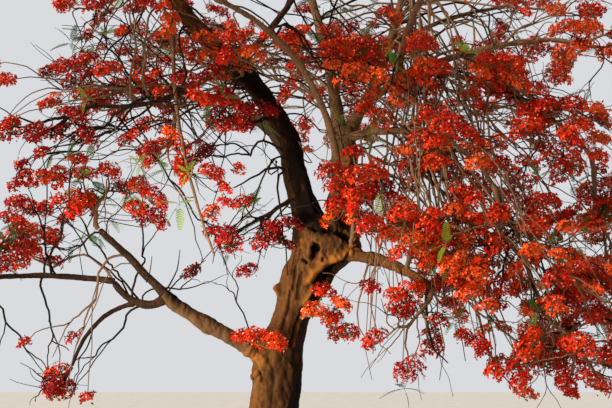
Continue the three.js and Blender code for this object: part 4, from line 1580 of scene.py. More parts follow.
FORMS = (  # path, width, height and rim of each form on the trunk
    # Swollen necks of the right bough and of the low left bough
    (((1034, -150, 3017), (1010, -60, 3100), (960, 60, 3120)), 80, 38),
    (((-300, -150, 1765), (-180, -230, 1735), (-90, -250, 1650)), 62, 52),
    (((-260, -140, 1610), (-150, -210, 1560)), 44, 30),
    (((-230, 60, 1640), (-150, 180, 1600)), 60, 36),
    # The thick fold that crosses from the right bough down over the trunk, and the shadow under it
    (((900, -210, 3030), (803, -240, 2988), (695, -245, 2921), (587, -245, 2830), (505, -240, 2729),
     (444, -235, 2649)), 42, 92),
    (((930, -190, 2930), (850, -210, 2905), (761, -230, 2840), (662, -230, 2760), (575, -235, 2690),
     (520, -235, 2640)), 36, -48),
    (((715, -210, 2770), (665, -215, 2680)), 60, -46),
    # The second fold that arches below it, and the dark cavity that it hangs over
    (((678, -200, 2660), (587, -225, 2630), (505, -230, 2570), (443, -230, 2480), (400, -228, 2380)),
     36, 56),
    (((655, -205, 2570), (603, -220, 2500), (560, -220, 2430)), 44, -60),
    # The dark cleft where the leaders part from the neck
    (((500, -390, 3275), (570, -400, 3250), (650, -400, 3235), (740, -370, 3250)), 46, -50),
    # The torn hollows above the fold, with their callus and burls
    (((800, -238, 3160), (855, -232, 3115), (915, -220, 3050)), 42, -108, 16),
    (((779, -240, 3110), (760, -240, 3060)), 28, -56),
    (((868, -230, 3060),), 16, 40),
    (((572, -248, 3060), (540, -248, 2995), (520, -248, 2930)), 38, -92, 14),
    (((650, -246, 3150), (625, -248, 3090), (600, -248, 3030)), 16, -26),
    (((735, -244, 3100), (700, -246, 3040), (650, -246, 2990)), 18, -30),
    (((425, -245, 2972), (395, -240, 2955)), 18, -46),
    (((408, -245, 2882), (414, -245, 2852)), 22, -66, 12),
    (((955, -190, 3220), (960, -190, 3130), (965, -180, 3050)), 42, 66),
    (((750, -245, 3185), (700, -250, 3140)), 36, 46),
    (((610, -250, 3190), (598, -250, 3070)), 34, 36),
    (((539, -248, 3190), (515, -248, 3080)), 22, -30),
    (((413, -240, 3085), (440, -240, 3020)), 42, 46),
    (((480, -250, 2900), (470, -250, 2840)), 28, 34),
    (((680, -240, 3060), (640, -240, 3085)), 22, -34),
    # Cracked bark on the left of the neck, and the knob on that flank
    (((314, -235, 2814), (300, -235, 2690), (270, -230, 2540)), 20, -34),
    (((390, -240, 2740), (350, -235, 2600), (320, -230, 2430)), 18, -30),
    (((350, -238, 2960), (340, -238, 2860)), 18, -24),
    (((230, -230, 2500), (200, -230, 2300), (150, -235, 2080)), 20, -26),
    (((400, -220, 2300), (330, -228, 2120), (260, -232, 1900)), 26, -28),
    (((250, -225, 2640), (210, -220, 2500), (180, -220, 2330)), 24, 20),
    (((98, -90, 2560),), 40, 82),
    (((112, -110, 2500),), 30, 44),
    # Long shallow flutes and swells down the lower trunk, all round
    (((60, -250, 1560), (20, -270, 1100), (10, -290, 620)), 44, -18),
    (((230, -190, 1640), (190, -220, 1150), (170, -250, 620)), 60, 26),
    (((-150, -190, 1420), (-190, -190, 900), (-220, -190, 500)), 55, 20),
    (((120, -240, 2050), (70, -250, 1700)), 50, 22),
    (((320, 60, 1700), (300, 60, 1200), (290, 60, 700)), 50, -26),
    (((60, 250, 2000), (20, 260, 1300), (0, 280, 700)), 60, 26),
    (((-170, 160, 1900), (-200, 180, 1200), (-220, 200, 600)), 46, -22),
    (((420, 180, 2500), (300, 200, 2050), (220, 200, 1500)), 55, 30),
    (((560, 240, 3100), (460, 220, 2700), (330, 210, 2300)), 60, 34),
    (((760, 230, 3150),), 50, -50, 28),
    (((200, 220, 1900),), 42, -36, 24),
    # Where the two leaders part, and the scars up their feet
    (((690, -100, 3600), (680, -190, 3400), (660, -230, 3280)), 42, -44),
    (((500, -210, 3450), (430, -180, 3700), (380, -170, 3950)), 40, 26),
    (((900, -130, 3500), (930, -100, 3800), (960, -60, 4150)), 40, 24),
    (((840, -140, 3760),), 26, -34, 16),
    (((870, -130, 4130),), 24, -30, 14),
    (((910, -110, 3960),), 20, -24, 12),
)
TRUNK_FEATURES = (*buttresses(), *(Feature(*form) for form in FORMS))


class Modeller:
    """Limbs modelled by hand: a ring drawn out along the limb's curve, turned and narrowed as it goes."""

    KNOT_SPACING = 420  # about how far apart the knots are
    COLLAR_REACH = 1.3  # how far a collar runs out along its limb, as a share of the radius
    LEAST_TURN = 1e-3  # a ring isn't turned by less

    def __init__(self, seed: int) -> None:
        """Starts a modeller whose strays are worked out from a seed."""
        self.chance = Chance(seed)

    @staticmethod
    def activate(*pieces: Piece) -> None:
        """Selects some objects alone and makes the first the active one."""
        bpy.ops.object.select_all(action="DESELECT")
        for piece in pieces:
            piece.select_set(True)
        bpy.context.view_layer.objects.active = pieces[0]

    def profile(self, limb: Limb, shares: Array, collar: float) -> Array:
        """A limb's radius with its collar, its knots and its slow swells.

        Args:
            limb: The limb.
            shares: Where along it.
            collar: How much it swells at its root, as a share of its radius.

        Returns:
            The radii in millimetres.
        """
        radii = limb.girth(shares)
        along = shares * limb.length
        swell = 1 + collar * np.exp(-along / (self.COLLAR_REACH * radii[0]))
        for _ in range(max(1, round(limb.length / self.KNOT_SPACING))):
            at = self.chance.between(0.12, 0.95) * limb.length
            size = self.chance.between(0.05, 0.2)
            width = self.chance.between(0.7, 1.5) * float(np.mean(radii))
            swell = swell + size * np.exp(-(((along - at) / width) ** 2))
        return radii * swell

    def draw_out(self, limb: Limb, sides: int, step: float, collar: float, wander: float) -> Piece:
        """Draws a limb out as one closed tube.

        Args:
            limb: The limb.
            sides: How many sides it has.
            step: About how far apart its rings are, in millimetres.
            collar: How much it swells at its root.
            wander: How far its middle strays, as a share of its radius.

        Returns:
            The limb as an object.
        """
        count = max(4, round(limb.length / step))
        shares = np.arange(count + 1) / count
        radii = self.profile(limb, shares, collar)
        centres = limb.curve.point_at(shares)
        tangents = limb.curve.tangent_at(shares)
        strays = np.array([self.chance.stray(wander) for _ in shares]) * radii[:, None]
        strays[[0, -1]] = 0
        centres = centres + (strays + np.roll(strays, 1, axis=0)) / 2
        if limb.carries_on or limb.name == "trunk":
            lead = -0.6 * radii[0] * tangents[0]
            centres = np.vstack([centres[0] + lead, centres])
            tangents = np.vstack([tangents[0], tangents])
            radii = np.concatenate([radii[:1], radii])
        centres = centres * METRES
        radii = radii * METRES
        bpy.ops.object.select_all(action="DESELECT")
        facing = bpy_vector(tangents[0]).to_track_quat("Z", "Y").to_euler()
        bpy.ops.mesh.primitive_circle_add(vertices=sides, radius=radii[0], fill_type="NGON",
                                          location=centres[0], rotation=facing)
        piece = bpy.context.object
        piece.name = limb.name
        bpy.ops.object.transform_apply(location=True, rotation=True, scale=True)
        bpy.ops.object.mode_set(mode="EDIT")
        bpy.ops.mesh.select_all(action="SELECT")
        for i in range(1, len(centres)):
            self.next_ring(centres, tangents, radii, i)
        bpy.ops.mesh.select_all(action="SELECT")
        bpy.ops.mesh.normals_make_consistent(inside=False)
        bpy.ops.object.mode_set(mode="OBJECT")
        return piece

    def next_ring(self, centres: Array, tangents: Array, radii: Array, i: int) -> None:
        """Draws the selected ring out to the next place, turns it and narrows it there.

        Args:
            centres: The rings' middles.
            tangents: The ways that they face.
            radii: Their radii.
            i: The ring to be made.
        """
        bpy.ops.mesh.extrude_region_move(TRANSFORM_OT_translate={"value": tuple(centres[i] - centres[i - 1])})
        centre = tuple(centres[i])
        for axis, angle in zip("XYZ", np.cross(tangents[i - 1], tangents[i])):
            if abs(angle) > self.LEAST_TURN:
                bpy.ops.transform.rotate(value=-angle, orient_axis=axis, orient_type="GLOBAL",
                                         center_override=centre)
        bpy.ops.transform.resize(value=(radii[i] / radii[i - 1],) * 3, center_override=centre)

    @staticmethod
    def modify(piece: Piece, kind: str, **settings: object) -> None:
        """Adds a modifier, sets it and applies it.

        Args:
            piece: The object, which is active.
            kind: The modifier's type.
            **settings: Its properties.
        """
        bpy.ops.object.modifier_add(type=kind)
        modifier = piece.modifiers[-1]
        for name, value in settings.items():
            setattr(modifier, name, value)
        bpy.ops.object.modifier_apply(modifier=modifier.name)

    def roughen(self, piece: Piece, size_mm: float, depth_mm: float, stretch: float,
                detail: int = 2) -> None:
        """Gives a surface a cloudy relief from a procedural texture.

        Args:
            piece: The object, which is active.
            size_mm: How wide its forms are.
            depth_mm: How deep they are.
            stretch: How much taller than wide they are.
            detail: How many finer layers it has.
        """
        texture = bpy.data.textures.new(f"{piece.name}_clouds", type="CLOUDS")
        texture.noise_scale = 1.0
        texture.noise_depth = detail
        guide = bpy.data.objects.new("relief_guide", None)
        put_in_scene(guide)
        size = size_mm * METRES
        guide.scale = (size, size, size * stretch)
        bpy.context.view_layer.update()
        self.modify(piece, "DISPLACE", texture=texture, texture_coords="OBJECT",
                    texture_coords_object=guide, strength=depth_mm * METRES, mid_level=0.5)
        bpy.data.objects.remove(guide)

    @staticmethod
    def dress(piece: Piece, material: Material) -> None:
        """Shades the active object smooth and gives it one material."""
        bpy.ops.object.shade_smooth()
        piece.data.materials.clear()
        piece.data.materials.append(material)


def bpy_vector(values: Array) -> "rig.Vector":
    """A numpy vector as Blender's own."""
    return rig.Vector([float(value) for value in values])


def read_vertices(piece: Piece, kind: str = "co") -> Array:
    """Reads an object's vertices.

    Args:
        piece: The object.
        kind: Which of their properties is read.

    Returns:
        One row of three numbers for each vertex.
    """
    values = np.empty(3 * len(piece.data.vertices), np.float32)
    piece.data.vertices.foreach_get(kind, values)
    return values.reshape(-1, 3).astype(float)


def ripple(places: Array, size: float) -> Array:
    """Smooth unevenness about nought.

    Args:
        places: Where it is wanted, in millimetres.
        size: About how wide its forms are.

    Returns:
        One number for each place, seldom past 2 or under -2.
    """
    random = np.random.default_rng(round(size))
    total = np.zeros(len(places))
    for _ in range(7):
        wave = unit(random.normal(0, 1, 3)) * 2 * math.pi / (2 * size * random.uniform(0.7, 1.4))
        total += np.sin(places @ wave + random.uniform(0, 2 * math.pi))
    return total / 2


def mark(piece: Piece, attribute: str, values: Array) -> None:
    """Writes one number for each vertex as a named attribute of an object's mesh."""
    layer = piece.data.attributes.new(attribute, "FLOAT", "POINT")
    layer.data.foreach_set("value", values.astype(np.float32))


@dataclass
class OldWood:
    """The trunk and the thick limbs that fork from it, as one living surface."""

    STEP = 85.0
    COLLAR = 0.45
    WANDER = 0.06
    RELIEFS = ((230, 36, 1.7, 1), (90, 26, 2.2, 2), (34, 10, 1.8, 2))  # width, depth, stretch and detail
    RAGGED = ((0.24, 85), (0.16, 34))  # how uneven the forms' edges are, and how widely
    RIM_AT, RIM_WIDTH = 1.75, 0.55  # where a hollow's callus stands, as shares of the hollow's width
    FULLY_SUNK, FULLY_RAISED = 48.0, 85.0  # the depth that paints a hollow's shade fully, and the height that marks a raised form fully worn and highlit
    BLEND_WIDTH = 80.0  # over which one limb's bark turns into the next one's
    SIDE_SHADE = 0.7  # how much painted shade darkens the bark on the side that the light doesn't reach

    limbs: dict[str, Limb]
    voxel_mm: float = 13.8  # how fine the joined surface is
    sides: int = 24  # how many sides each limb is drawn with
    greyness: dict[str, float] = field(default_factory=lambda: {
        "trunk": 0.14, "left_leader_foot": 0.05, "centre_stem": 0.5, "right_bough": 0.12,
        "left_leader_bend": 0.05, "left_leader_top": 0.05, "low_left_bough": 0.6})
    # How dark each limb's bark is: the left leader's own dark bark together with painted shade; below nought it takes
    # off some of the painted side shade
    darkness: dict[str, float] = field(default_factory=lambda: {
        "trunk": 0.1, "left_leader_foot": 1.0, "centre_stem": -0.25, "right_bough": 0.0,
        "left_leader_bend": 0.95, "left_leader_top": -0.1, "low_left_bough": -0.05})

    def build(self) -> Piece:
        """Draws the limbs out, joins them into one skin and shapes its forms and bark.

        Returns:
            The finished piece.
        """
        modeller = Modeller(seed=31)
        parts = []
        for name in self.greyness:
            limb = self.limbs[name]
            if name == "trunk":
                limb = Limb(name, limb.curve, trunk_girth(limb.curve, lobed=False))
            collar = 0.0 if limb.carries_on or name == "trunk" else self.COLLAR
            parts.append(modeller.draw_out(limb, self.sides, self.STEP, collar, self.WANDER))
        modeller.activate(*parts)
        bpy.ops.object.join()
        wood = bpy.context.object
        wood.name = "old_wood"
        modeller.modify(wood, "REMESH", mode="VOXEL", voxel_size=self.voxel_mm * METRES)
        modeller.modify(wood, "SMOOTH", factor=0.5, iterations=8)
        self.shape_features(wood)
        modeller.activate(wood)
        modeller.modify(wood, "SMOOTH", factor=0.5, iterations=2)
        for relief in self.RELIEFS:
            modeller.roughen(wood, *relief)
        self.cut_flat()
        self.weather(wood)
        modeller.dress(wood, TRUNK_BARK.material())
        return wood

    def shape_features(self, wood: Piece) -> None:
        """Raises the ridges and burls and sinks the hollows, each along the bark's own normal.

        Args:
            wood: The one skin.
        """
        shade_in_hollows, wear_and_highlight_on_ridges = np.zeros((2, len(wood.data.vertices)))
        places = read_vertices(wood) / METRES
        (coarse, width), (fine, fine_width) = self.RAGGED
        ragged = 1 + coarse * ripple(places, width) + fine * ripple(places, fine_width)
        for feature in TRUNK_FEATURES:
            places = read_vertices(wood) / METRES
            normals = read_vertices(wood, "normal")
            path = np.array(feature.path, float)
            path = places[[int(np.argmin(((places - place) ** 2).sum(axis=1))) for place in path]]
            starts, ends = (path[:-1], path[1:]) if len(path) > 1 else (path, path)
            distance = np.full(len(places), np.inf)
            for start, run in zip(starts, ends - starts):
                square = np.maximum((run * run).sum(), 1e-9)
                share = np.clip((places - start) @ run / square, 0, 1)[:, None]
                distance = np.minimum(distance, np.linalg.norm(places - start - share * run, axis=1))
            reach = distance * np.clip(ragged, 0.4, 1.7) / feature.width
            move = feature.height * np.exp(-(reach**2))
            move += feature.rim * np.exp(-(((reach - self.RIM_AT) / self.RIM_WIDTH) ** 2))
            moved = (places + normals * move[:, None]) * METRES
            wood.data.vertices.foreach_set("co", moved.astype(np.float32).ravel())
            wood.data.update()
            shade_in_hollows += np.maximum(0, -move) / self.FULLY_SUNK
            wear_and_highlight_on_ridges += np.maximum(0, move) / self.FULLY_RAISED
        # Painted shade: the sunken hollows are darkened towards near black
        mark(wood, "cavity", np.clip(shade_in_hollows, 0, 0.96))
        # The raised forms are painted paler: partly wear, partly a painted highlight
        mark(wood, "worn", np.clip(wear_and_highlight_on_ridges, 0, 0.8))

    @staticmethod
    def cut_flat() -> None:
        """Cuts the active skin flat at the ground and closes the cut."""
        bpy.ops.object.mode_set(mode="EDIT")
        bpy.ops.mesh.select_all(action="SELECT")
        bpy.ops.mesh.bisect(plane_co=(0, 0, 0), plane_no=(0, 0, 1), clear_inner=True, use_fill=True)
        bpy.ops.object.mode_set(mode="OBJECT")

    def weather(self, wood: Piece) -> None:
        """Marks how grey the bark is, and how dark its own bark and painted shade make it, by the nearest limbs, the
        shaded places and the side that it is on.

        Args:
            wood: The one skin.
        """
        places = read_vertices(wood) / METRES
        rooms = []
        for name in self.greyness:
            obstacle = Obstacles()
            obstacle.add(name, *self.limbs[name].stretches())
            rooms.append(obstacle.room(places))
        weights = np.exp(-np.clip(np.array(rooms), 0, 2000) / self.BLEND_WIDTH)
        weights /= weights.sum(axis=0)
        # Painted shade on the side that faces away from the light
        away = np.clip(0.25 + 1.1 * read_vertices(wood, "normal")[:, 0], -0.4, 1)
        grey, dark = (np.array([values[name] for name in self.greyness]) @ weights
                      for values in (self.greyness, self.darkness))
        for place, reach, strength in SHADES:
            dark += strength * np.exp(-(((places - place) / reach) ** 2).sum(axis=1))
        mark(wood, "greyness", np.clip(grey, 0, 0.95))
        mark(wood, "darkness", np.clip(dark + self.SIDE_SHADE * away, 0, 0.98))


@dataclass
class YoungBoughs:
    """The slimmer boughs, each one drawn out on its own from inside what carries it."""

    FIRST_SEED = 700
    SIDES = 8
    COLLAR = 0.5
    WANDER = 0.22

    limbs: dict[str, Limb]
    shaded: tuple[str, ...] = (  # the boughs whose bark the crown keeps dark
        "left_arm", "back_left_bough", "low_left_rise", "low_left_elbow", "low_left_reach",
        "low_left_droop", "cross_limb", "back_bough")

    def build(self, done: Sequence[str]) -> list[Piece]:
        """Models every bough that isn't part of the old wood.

        Args:
            done: The limbs that are already modelled.

        Returns:
            The pieces, each named for its bough.
        """
        materials = {False: BOUGH_BARK.material(), True: SHADED_BARK.material()}
        pieces = []
        for number, (name, limb) in enumerate(self.limbs.items()):
            if name in done:
                continue
            modeller = Modeller(self.FIRST_SEED + number)
            thick = float(limb.girth(np.array(0.0)))
            collar = 0.0 if limb.carries_on else self.COLLAR
            piece = modeller.draw_out(limb, self.SIDES, max(70, 1.5 * thick), collar, self.WANDER)
            piece.name = f"{name}_bark"
            modeller.activate(piece)
            modeller.modify(piece, "SUBSURF", levels=2, render_levels=2)
            modeller.roughen(piece, 1.9 * thick, 0.26 * thick, stretch=1.5)
            modeller.roughen(piece, 26, min(7.0, 0.14 * thick), stretch=2.0)
            modeller.dress(piece, materials[name in self.shaded])
            pieces.append(piece)
        return pieces


class Crown:
    """Every twig, head of flowers and leaf of the tree."""

    TUBE_KINDS = ((13.0, 99.0, 10, 6), (6.5, 13.0, 8, 4), (0.0, 6.5, 6, 3))  # radii, rings and sides
    KINK = 0.009  # how far a twig's middle strays from its curve, as a share of its span
    TIP_SHARE = 0.7  # a twig's radius at its tip, as a share of its own

    def __init__(self, limbs: dict[str, Limb]) -> None:
        """Grows the whole crown on the limbs.

        Args:
            limbs: Every limb of the tree, by name.
        """
        self.random = np.random.default_rng(2024)
        everything, wood = Obstacles(), Obstacles()
        for limb in limbs.values():
            everything.add(limb.name, *limb.stretches())
            wood.add(limb.name, *limb.stretches())
        grown = [SourceGrowth(mass, limbs[mass.carrier], everything) for mass in MASSES]
        for growth in grown:
            growth.grow()
        fine = FineGrowth(limbs, wood, grown)
        for shoot in SHOOTS:
            fine.add_shoot(shoot)
        for drape in DRAPES:
            fine.grow_drape(drape)
        zones = [self.zone_of(mass) for mass in MASSES] + list(CLOSING_ZONES)
        for zone in zones:
            fine.fill(zone)
        for zone in zones:
            fine.grow_bare(zone)
        self.twigs = [twig for growth in grown for twig in growth.twigs] + fine.twigs
        self.heads = fine.heads
        self.leaf_sprays = [spray for growth in grown for spray in growth.leaf_sprays] + fine.leaf_sprays
        log.info("crown: %d twigs, %d heads, %d leaf sprays", len(self.twigs), len(self.heads),
                 len(self.leaf_sprays))

    @staticmethod
    def zone_of(mass: Mass) -> Zone:
        """The zone that a mass's own space is.

        Args:
            mass: The mass.

        Returns:
            The zone.
        """
        volume = 4 / 3 * math.pi * float(np.prod(np.array(mass.reach) * METRES))
        heads = min(HEADS_PER_TIP[mass.mood] * mass.tips, HEADS_PER_CUBIC_METRE * volume)
        bare = BARE_PER_TIP[mass.mood] * mass.tips * mass.bare
        return Zone(mass.centre, mass.reach, round(heads * mass.heads), round(bare), mass.mood)

    def twig_shape(self, light: bool) -> Shape:
        """The twigs of one bark as closed tubes, finer ones with fewer sides.

        Args:
            light: Whether the pale-barked ones are meant.

        Returns:
            All of them as one shape.
        """
        shapes = []
        for least, most, rings, sides in self.TUBE_KINDS:
            twigs = [t for t in self.twigs if t.light == light and least <= t.root_radius < most]
            if not twigs:
                continue
            shares = np.linspace(0, 1, rings)
            paths = np.array([twig.curve.point(shares) for twig in twigs])
            spans = np.linalg.norm(paths[:, -1] - paths[:, 0], axis=1)
            kinks = self.random.normal(0, self.KINK, paths.shape) * spans[:, None, None]
            kinks[:, [0, -1]] = 0
            starts = np.array([twig.root_radius for twig in twigs])[:, None]
            ends = np.array([twig.radius * (self.TIP_SHARE if twig.tipped else 1) for twig in twigs])
            radii = starts + (ends[:, None] - starts) * shares
            shapes.append(tubes((paths + kinks) * METRES, radii * METRES, sides))
        return Shape.joined(shapes)


@dataclass(frozen=True)
class FlowerShape:
    """One flower: five spoon-shaped petals round its middle, one of them the pale standard."""

    PETALS = 5
    OUTLINE = ((0.0, 0.0, 0.0), (0.5, -0.75, 0.06), (0.92, -0.88, -0.06), (1.0, 0.45, -0.1),
               (0.58, 0.9, 0.05))  # shares of a petal's length, of half its width and of its length
    STAMENS = 2
    STAMEN_SPREAD, STAMEN_HEIGHT = 0.016, 0.038  # where a stamen's tip is, in metres

    petal_length: float = 0.041  # from the middle to a petal's tip, in metres
    petal_width: float = 0.028  # across its blade

    def petal(self, rise: float, curl: float) -> Shape:
        """One petal along +X.

        Args:
            rise: The angle that it leaves the middle at.
            curl: How far its tip turns down, as a share of its length.

        Returns:
            Three faces that fan out from its narrow base.
        """
        length, half = self.petal_length, self.petal_width / 2
        vertices = [(x * length, y * half, z * length - curl * length * x * x) for x, y, z in self.OUTLINE]
        cos, sin = math.cos(rise), math.sin(rise)
        turned = [(x * cos - z * sin, y, x * sin + z * cos) for x, y, z in vertices]
        return Shape(np.array(turned), np.array([(0, i, i + 1) for i in range(1, 4)]))

    def whorl(self, petals: Sequence[int], rise: float, curl: float) -> Shape:
        """Petals at fifths of a turn.

        Args:
            petals: Which of the five are made.
            rise: The angle that they leave the middle at.
            curl: How far their tips turn down.

        Returns:
            The petals as one shape.
        """
        count = len(petals)
        frames = frames_facing(np.tile(UP, (count, 1)), np.array(petals) * 2 * math.pi / self.PETALS)
        return self.petal(rise, curl).stamped(np.zeros((count, 3)), frames, np.ones(count))

    def stamens(self) -> Shape:
        """Slender stamens that curve up out of the middle, each one thin face.

        Returns:
            The stamens.
        """
        shapes = []
        for i in range(self.STAMENS):
            turn = 2 * math.pi * (i + 0.5) / self.STAMENS
            out = np.array([math.cos(turn), math.sin(turn), 0])
            side = np.array([-out[1], out[0], 0]) * 0.0022
            tip = out * self.STAMEN_SPREAD + UP * self.STAMEN_HEIGHT
            shapes.append(Shape(np.array([out * 0.002 - side, out * 0.002 + side, tip]),
                                np.array([[0, 1, 2]])))
        return Shape.joined(shapes)


@dataclass
class Blossom:
    """All the heads of flowers, with their buds and stalks."""

    SEED = 77
    RED = (1, 2, 3, 4)  # which of a flower's petals are red
    OPEN, CUPPED = (0.12, 0.32), (0.75, 0.05)  # the rise and curl of an open and of a young flower
    LOW, HIGH = (0.5, 0.1), (1.1, -0.1)  # the same of the pale petal
    FRESH = 0.5  # the share of flowers that show it
    BUD_RADIUS = 0.0085  # in metres
    BUD_LEVELS = (-0.004, 0.012, 0.03)  # its foot, its widest place and its point
    STALK_RADII = (0.0018, 0.0032)

    heads: list[Head]
    flower: FlowerShape = FlowerShape()
    flower_spacing: float = 0.051  # how far apart a head's flowers are, in metres

    def __post_init__(self) -> None:
        """Starts the stream that every stray, turn and size is drawn from."""
        self.random = np.random.default_rng(self.SEED)

    def build(self) -> list[Piece]:
        """Makes the petals of each tint, the pale petals, the buds and the stalks.

        Returns:
            The pieces.
        """
        flower = self.flower
        spread, cupped = (Shape.joined([flower.whorl(self.RED, *form), flower.stamens()])
                          for form in (self.OPEN, self.CUPPED))
        pieces, every_flower, every_bud = [], [], []
        for tint in Tint:
            flowers = []
            for head in (head for head in self.heads if head.tint is tint):
                flowers.append(self.head_flowers(head))
                every_bud.append(self.head_buds(head))
            if not flowers:
                continue
            every_flower += flowers
            places, facings, _ = (np.concatenate(part) for part in zip(*flowers))
            petals = self.scatter(spread, places, facings, (0.86, 1.12), cupped, lean=1.5)
            pieces += mesh_objects(f"petals_{tint.value}", petals, PETALS[tint].material())
        places, facings, hubs = (np.concatenate(part) for part in zip(*every_flower))
        fresh = self.random.uniform(0, 1, len(places)) < self.FRESH
        low, high = (flower.whorl((0,), *form) for form in (self.LOW, self.HIGH))
        standards = self.scatter(low, places[fresh], facings[fresh], (0.62, 0.85), high)
        pieces += mesh_objects("standard_petals", standards, STANDARD_PETAL.material())
        pieces += mesh_objects("flower_stalks", self.stalks(hubs, places, facings), STALK_SKIN.material())
        places, facings = (np.concatenate(part) for part in zip(*every_bud))
        buds = self.scatter(self.bud(), places, facings, (0.7, 1.3))
        return pieces + mesh_objects("flower_buds", buds, BUD_SKIN.material())

    def head_flowers(self, head: Head) -> tuple[Array, Array, Array]:
        """Where a head's flowers are: over a low dome, flat below.

        Args:
            head: The head.

        Returns:
            The flowers' places, the ways that they face, and the hub that each one's stalk leaves.
        """
        random = self.random
        radius = head.radius * METRES
        dome = max(radius - 0.04, 0.04)
        count = max(6, round(5.0 * (dome / self.flower_spacing) ** 2) + 4)
        order = (np.arange(count) + 0.5) / count
        polar = np.arccos(1 - order * (1 - math.cos(math.radians(112))))
        turn = np.arange(count) * math.pi * (3 - math.sqrt(5)) + random.uniform(0, 2 * math.pi)
        flat = np.sin(polar)
        out = np.column_stack([flat * np.cos(turn), flat * np.sin(turn), np.cos(polar)])
        frame_of_head = frames_facing(head.facing[None], random.uniform(0, 2 * math.pi, 1))[0]
        centre = head.place * METRES - head.facing * 0.2 * radius
        stretch = np.array([random.uniform(1.0, 1.3), random.uniform(0.78, 1.0), 0.68])
        spread = out * stretch * dome * random.uniform(0.72, 1.08, (count, 1))
        places = centre + spread @ frame_of_head.T + random.normal(0, 0.01, (count, 3))
        ways = unit(out @ frame_of_head.T + 0.3 * UP + random.normal(0, 0.3, (count, 3)))
        return places, ways, np.tile(centre - head.facing * 0.4 * dome, (count, 1))

    def head_buds(self, head: Head) -> tuple[Array, Array]:
        """Where a head's buds are: among its middle flowers and under its rim.

        Args:
            head: The head.

        Returns:
            The buds' places and the ways that they point.
        """
        count = 4 + round(head.radius / 50)
        radius = head.radius * METRES
        out = unit(self.random.normal(0, 1, (count, 3)) + head.facing * 0.4)
        centre = head.place * METRES - head.facing * 0.22 * radius
        places = centre + out * radius * self.random.uniform(0.3, 0.72, (count, 1))
        return places, unit(out + 0.5 * head.facing)

    def scatter(self, form: Shape, places: Array, facings: Array, sizes: tuple[float, float],
                other: Shape | None = None, lean: float = 1.0) -> Shape:
        """Copies of a form, each with its own turn and size, somewhere between it and a second one.

        Args:
            form: The form.
            places: Where the copies are.
            facings: The ways that they face.
            sizes: The least and the greatest size, as shares of the form's own.
            other: The second form.
            lean: How strongly the copies keep to the first form.

        Returns:
            All of them as one shape.
        """
        count = len(places)
        frames = frames_facing(facings, self.random.uniform(0, 2 * math.pi, count))
        scales = self.random.uniform(*sizes, count)
        blend = None if other is None else self.random.uniform(0, 1, count) ** lean
        return form.stamped(places, frames, scales, other, blend)

    def stalks(self, hubs: Array, places: Array, facings: Array) -> Shape:
        """A stalk from each head's hub to every other one of its flowers."""
        paths = np.stack([hubs, places - facings * 0.002], axis=1)[::2]
        return tubes(paths, np.tile(self.STALK_RADII, (len(paths), 1)), 3, capped=False)

    def bud(self) -> Shape:
        """One pointed bud of eight faces.

        Returns:
            The bud.
        """
        foot, widest, point = self.BUD_LEVELS
        ring = [(self.BUD_RADIUS * math.cos(a), self.BUD_RADIUS * math.sin(a), widest)
                for a in np.arange(4) * math.pi / 2]
        lower = [(0, (i + 1) % 4 + 1, i + 1) for i in range(4)]
        upper = [(5, i + 1, (i + 1) % 4 + 1) for i in range(4)]
        return Shape(np.array([(0, 0, foot), *ring, (0, 0, point)]), np.array(lower + upper))


@dataclass
class Foliage:
    """The few feathery leaves, each twice divided, in tufts."""

    SEED = 9
    RISE, DROOP = 0.12, 0.34  # how a leaf arches up from its root and down to its tip

    sprays: list[LeafSpray]
    pairs: int = 9  # how many pairs of side stems a leaf has
    teeth: int = 6  # how many leaflets stand along each side of one

    def height(self, share: Array) -> Array:
        """How high a leaf's midrib is at shares of its length."""
        return self.RISE * share - self.DROOP * share**2

    def leaf(self) -> Shape:
        """One leaf of length one along +X, arching over, with its side stems as toothed blades.

        Returns:
            The leaf.
        """
        shares = np.linspace(0, 1, 6)
        midrib = np.column_stack([shares, np.zeros(6), self.height(shares)])
        shapes = [tubes(midrib[None], np.linspace(0.009, 0.003, 6)[None], 3)]
        for i in range(self.pairs):
            share = 0.2 + 0.78 * i / (self.pairs - 1)
            reach = 0.21 * math.sin(math.pi * (0.22 + 0.66 * share))
            shapes += [self.side_stem(share, reach, side) for side in (-1, 1)]
        return Shape.joined(shapes)

    def side_stem(self, share: float, reach: float, side: int) -> Shape:
        """One side stem with its two rows of leaflets.

        Args:
            share: How far along the leaf it leaves.
            reach: Its length.
            side: Which side of the leaf it is on.

        Returns:
            Two rows of narrow teeth on a thin line.
        """
        root = np.array([share, 0, self.height(share)])
        way = unit(np.array([0.55, side, -0.18]))
        across = unit(np.cross(way, UP))
        vertices, triangles = [], []
        step = reach / self.teeth
        for row in (-1, 1):
            for i in range(self.teeth):
                foot = root + way * step * i
                length = 0.06 * math.sin(math.pi * (0.2 + 0.7 * (i + 0.5) / self.teeth))
                tip = foot + way * step * 0.9 + across * row * length + UP * 0.004
                start = len(vertices)
                vertices += [foot, foot + way * step * 1.02, tip]
                triangles.append((start, start + 1, start + 2) if row > 0 else (start + 1, start, start + 2))
        return Shape(np.array(vertices), np.array(triangles))

    def build(self) -> list[Piece]:
        """Makes the grown and the young leaves.

        Returns:
            The pieces.
        """
        random = np.random.default_rng(self.SEED)
        template = self.leaf()
        pieces = []
        for young, name, finish in ((False, "grown_leaves", GROWN_LEAF), (True, "young_leaves", YOUNG_LEAF)):
            places, frames, sizes = [], [], []
            for spray in (spray for spray in self.sprays if spray.young == young):
                for i in range(spray.leaves):
                    turn = 2 * math.pi * (i + random.uniform(-0.25, 0.25)) / spray.leaves
                    side = frames_facing(spray.facing[None], np.array([turn]))[0][:, 0]
                    way = unit(spray.facing * random.uniform(0.3, 0.9) + side + UP * 0.15)
                    across = unit(np.cross(UP, way))
                    frames.append(np.column_stack([way, across, np.cross(way, across)]))
                    places.append(spray.place * METRES)
                    sizes.append(spray.length * METRES * random.uniform(0.75, 1.1))
            shape = template.stamped(np.array(places), np.array(frames), np.array(sizes))
            pieces += mesh_objects(name, shape, finish.material())
        return pieces


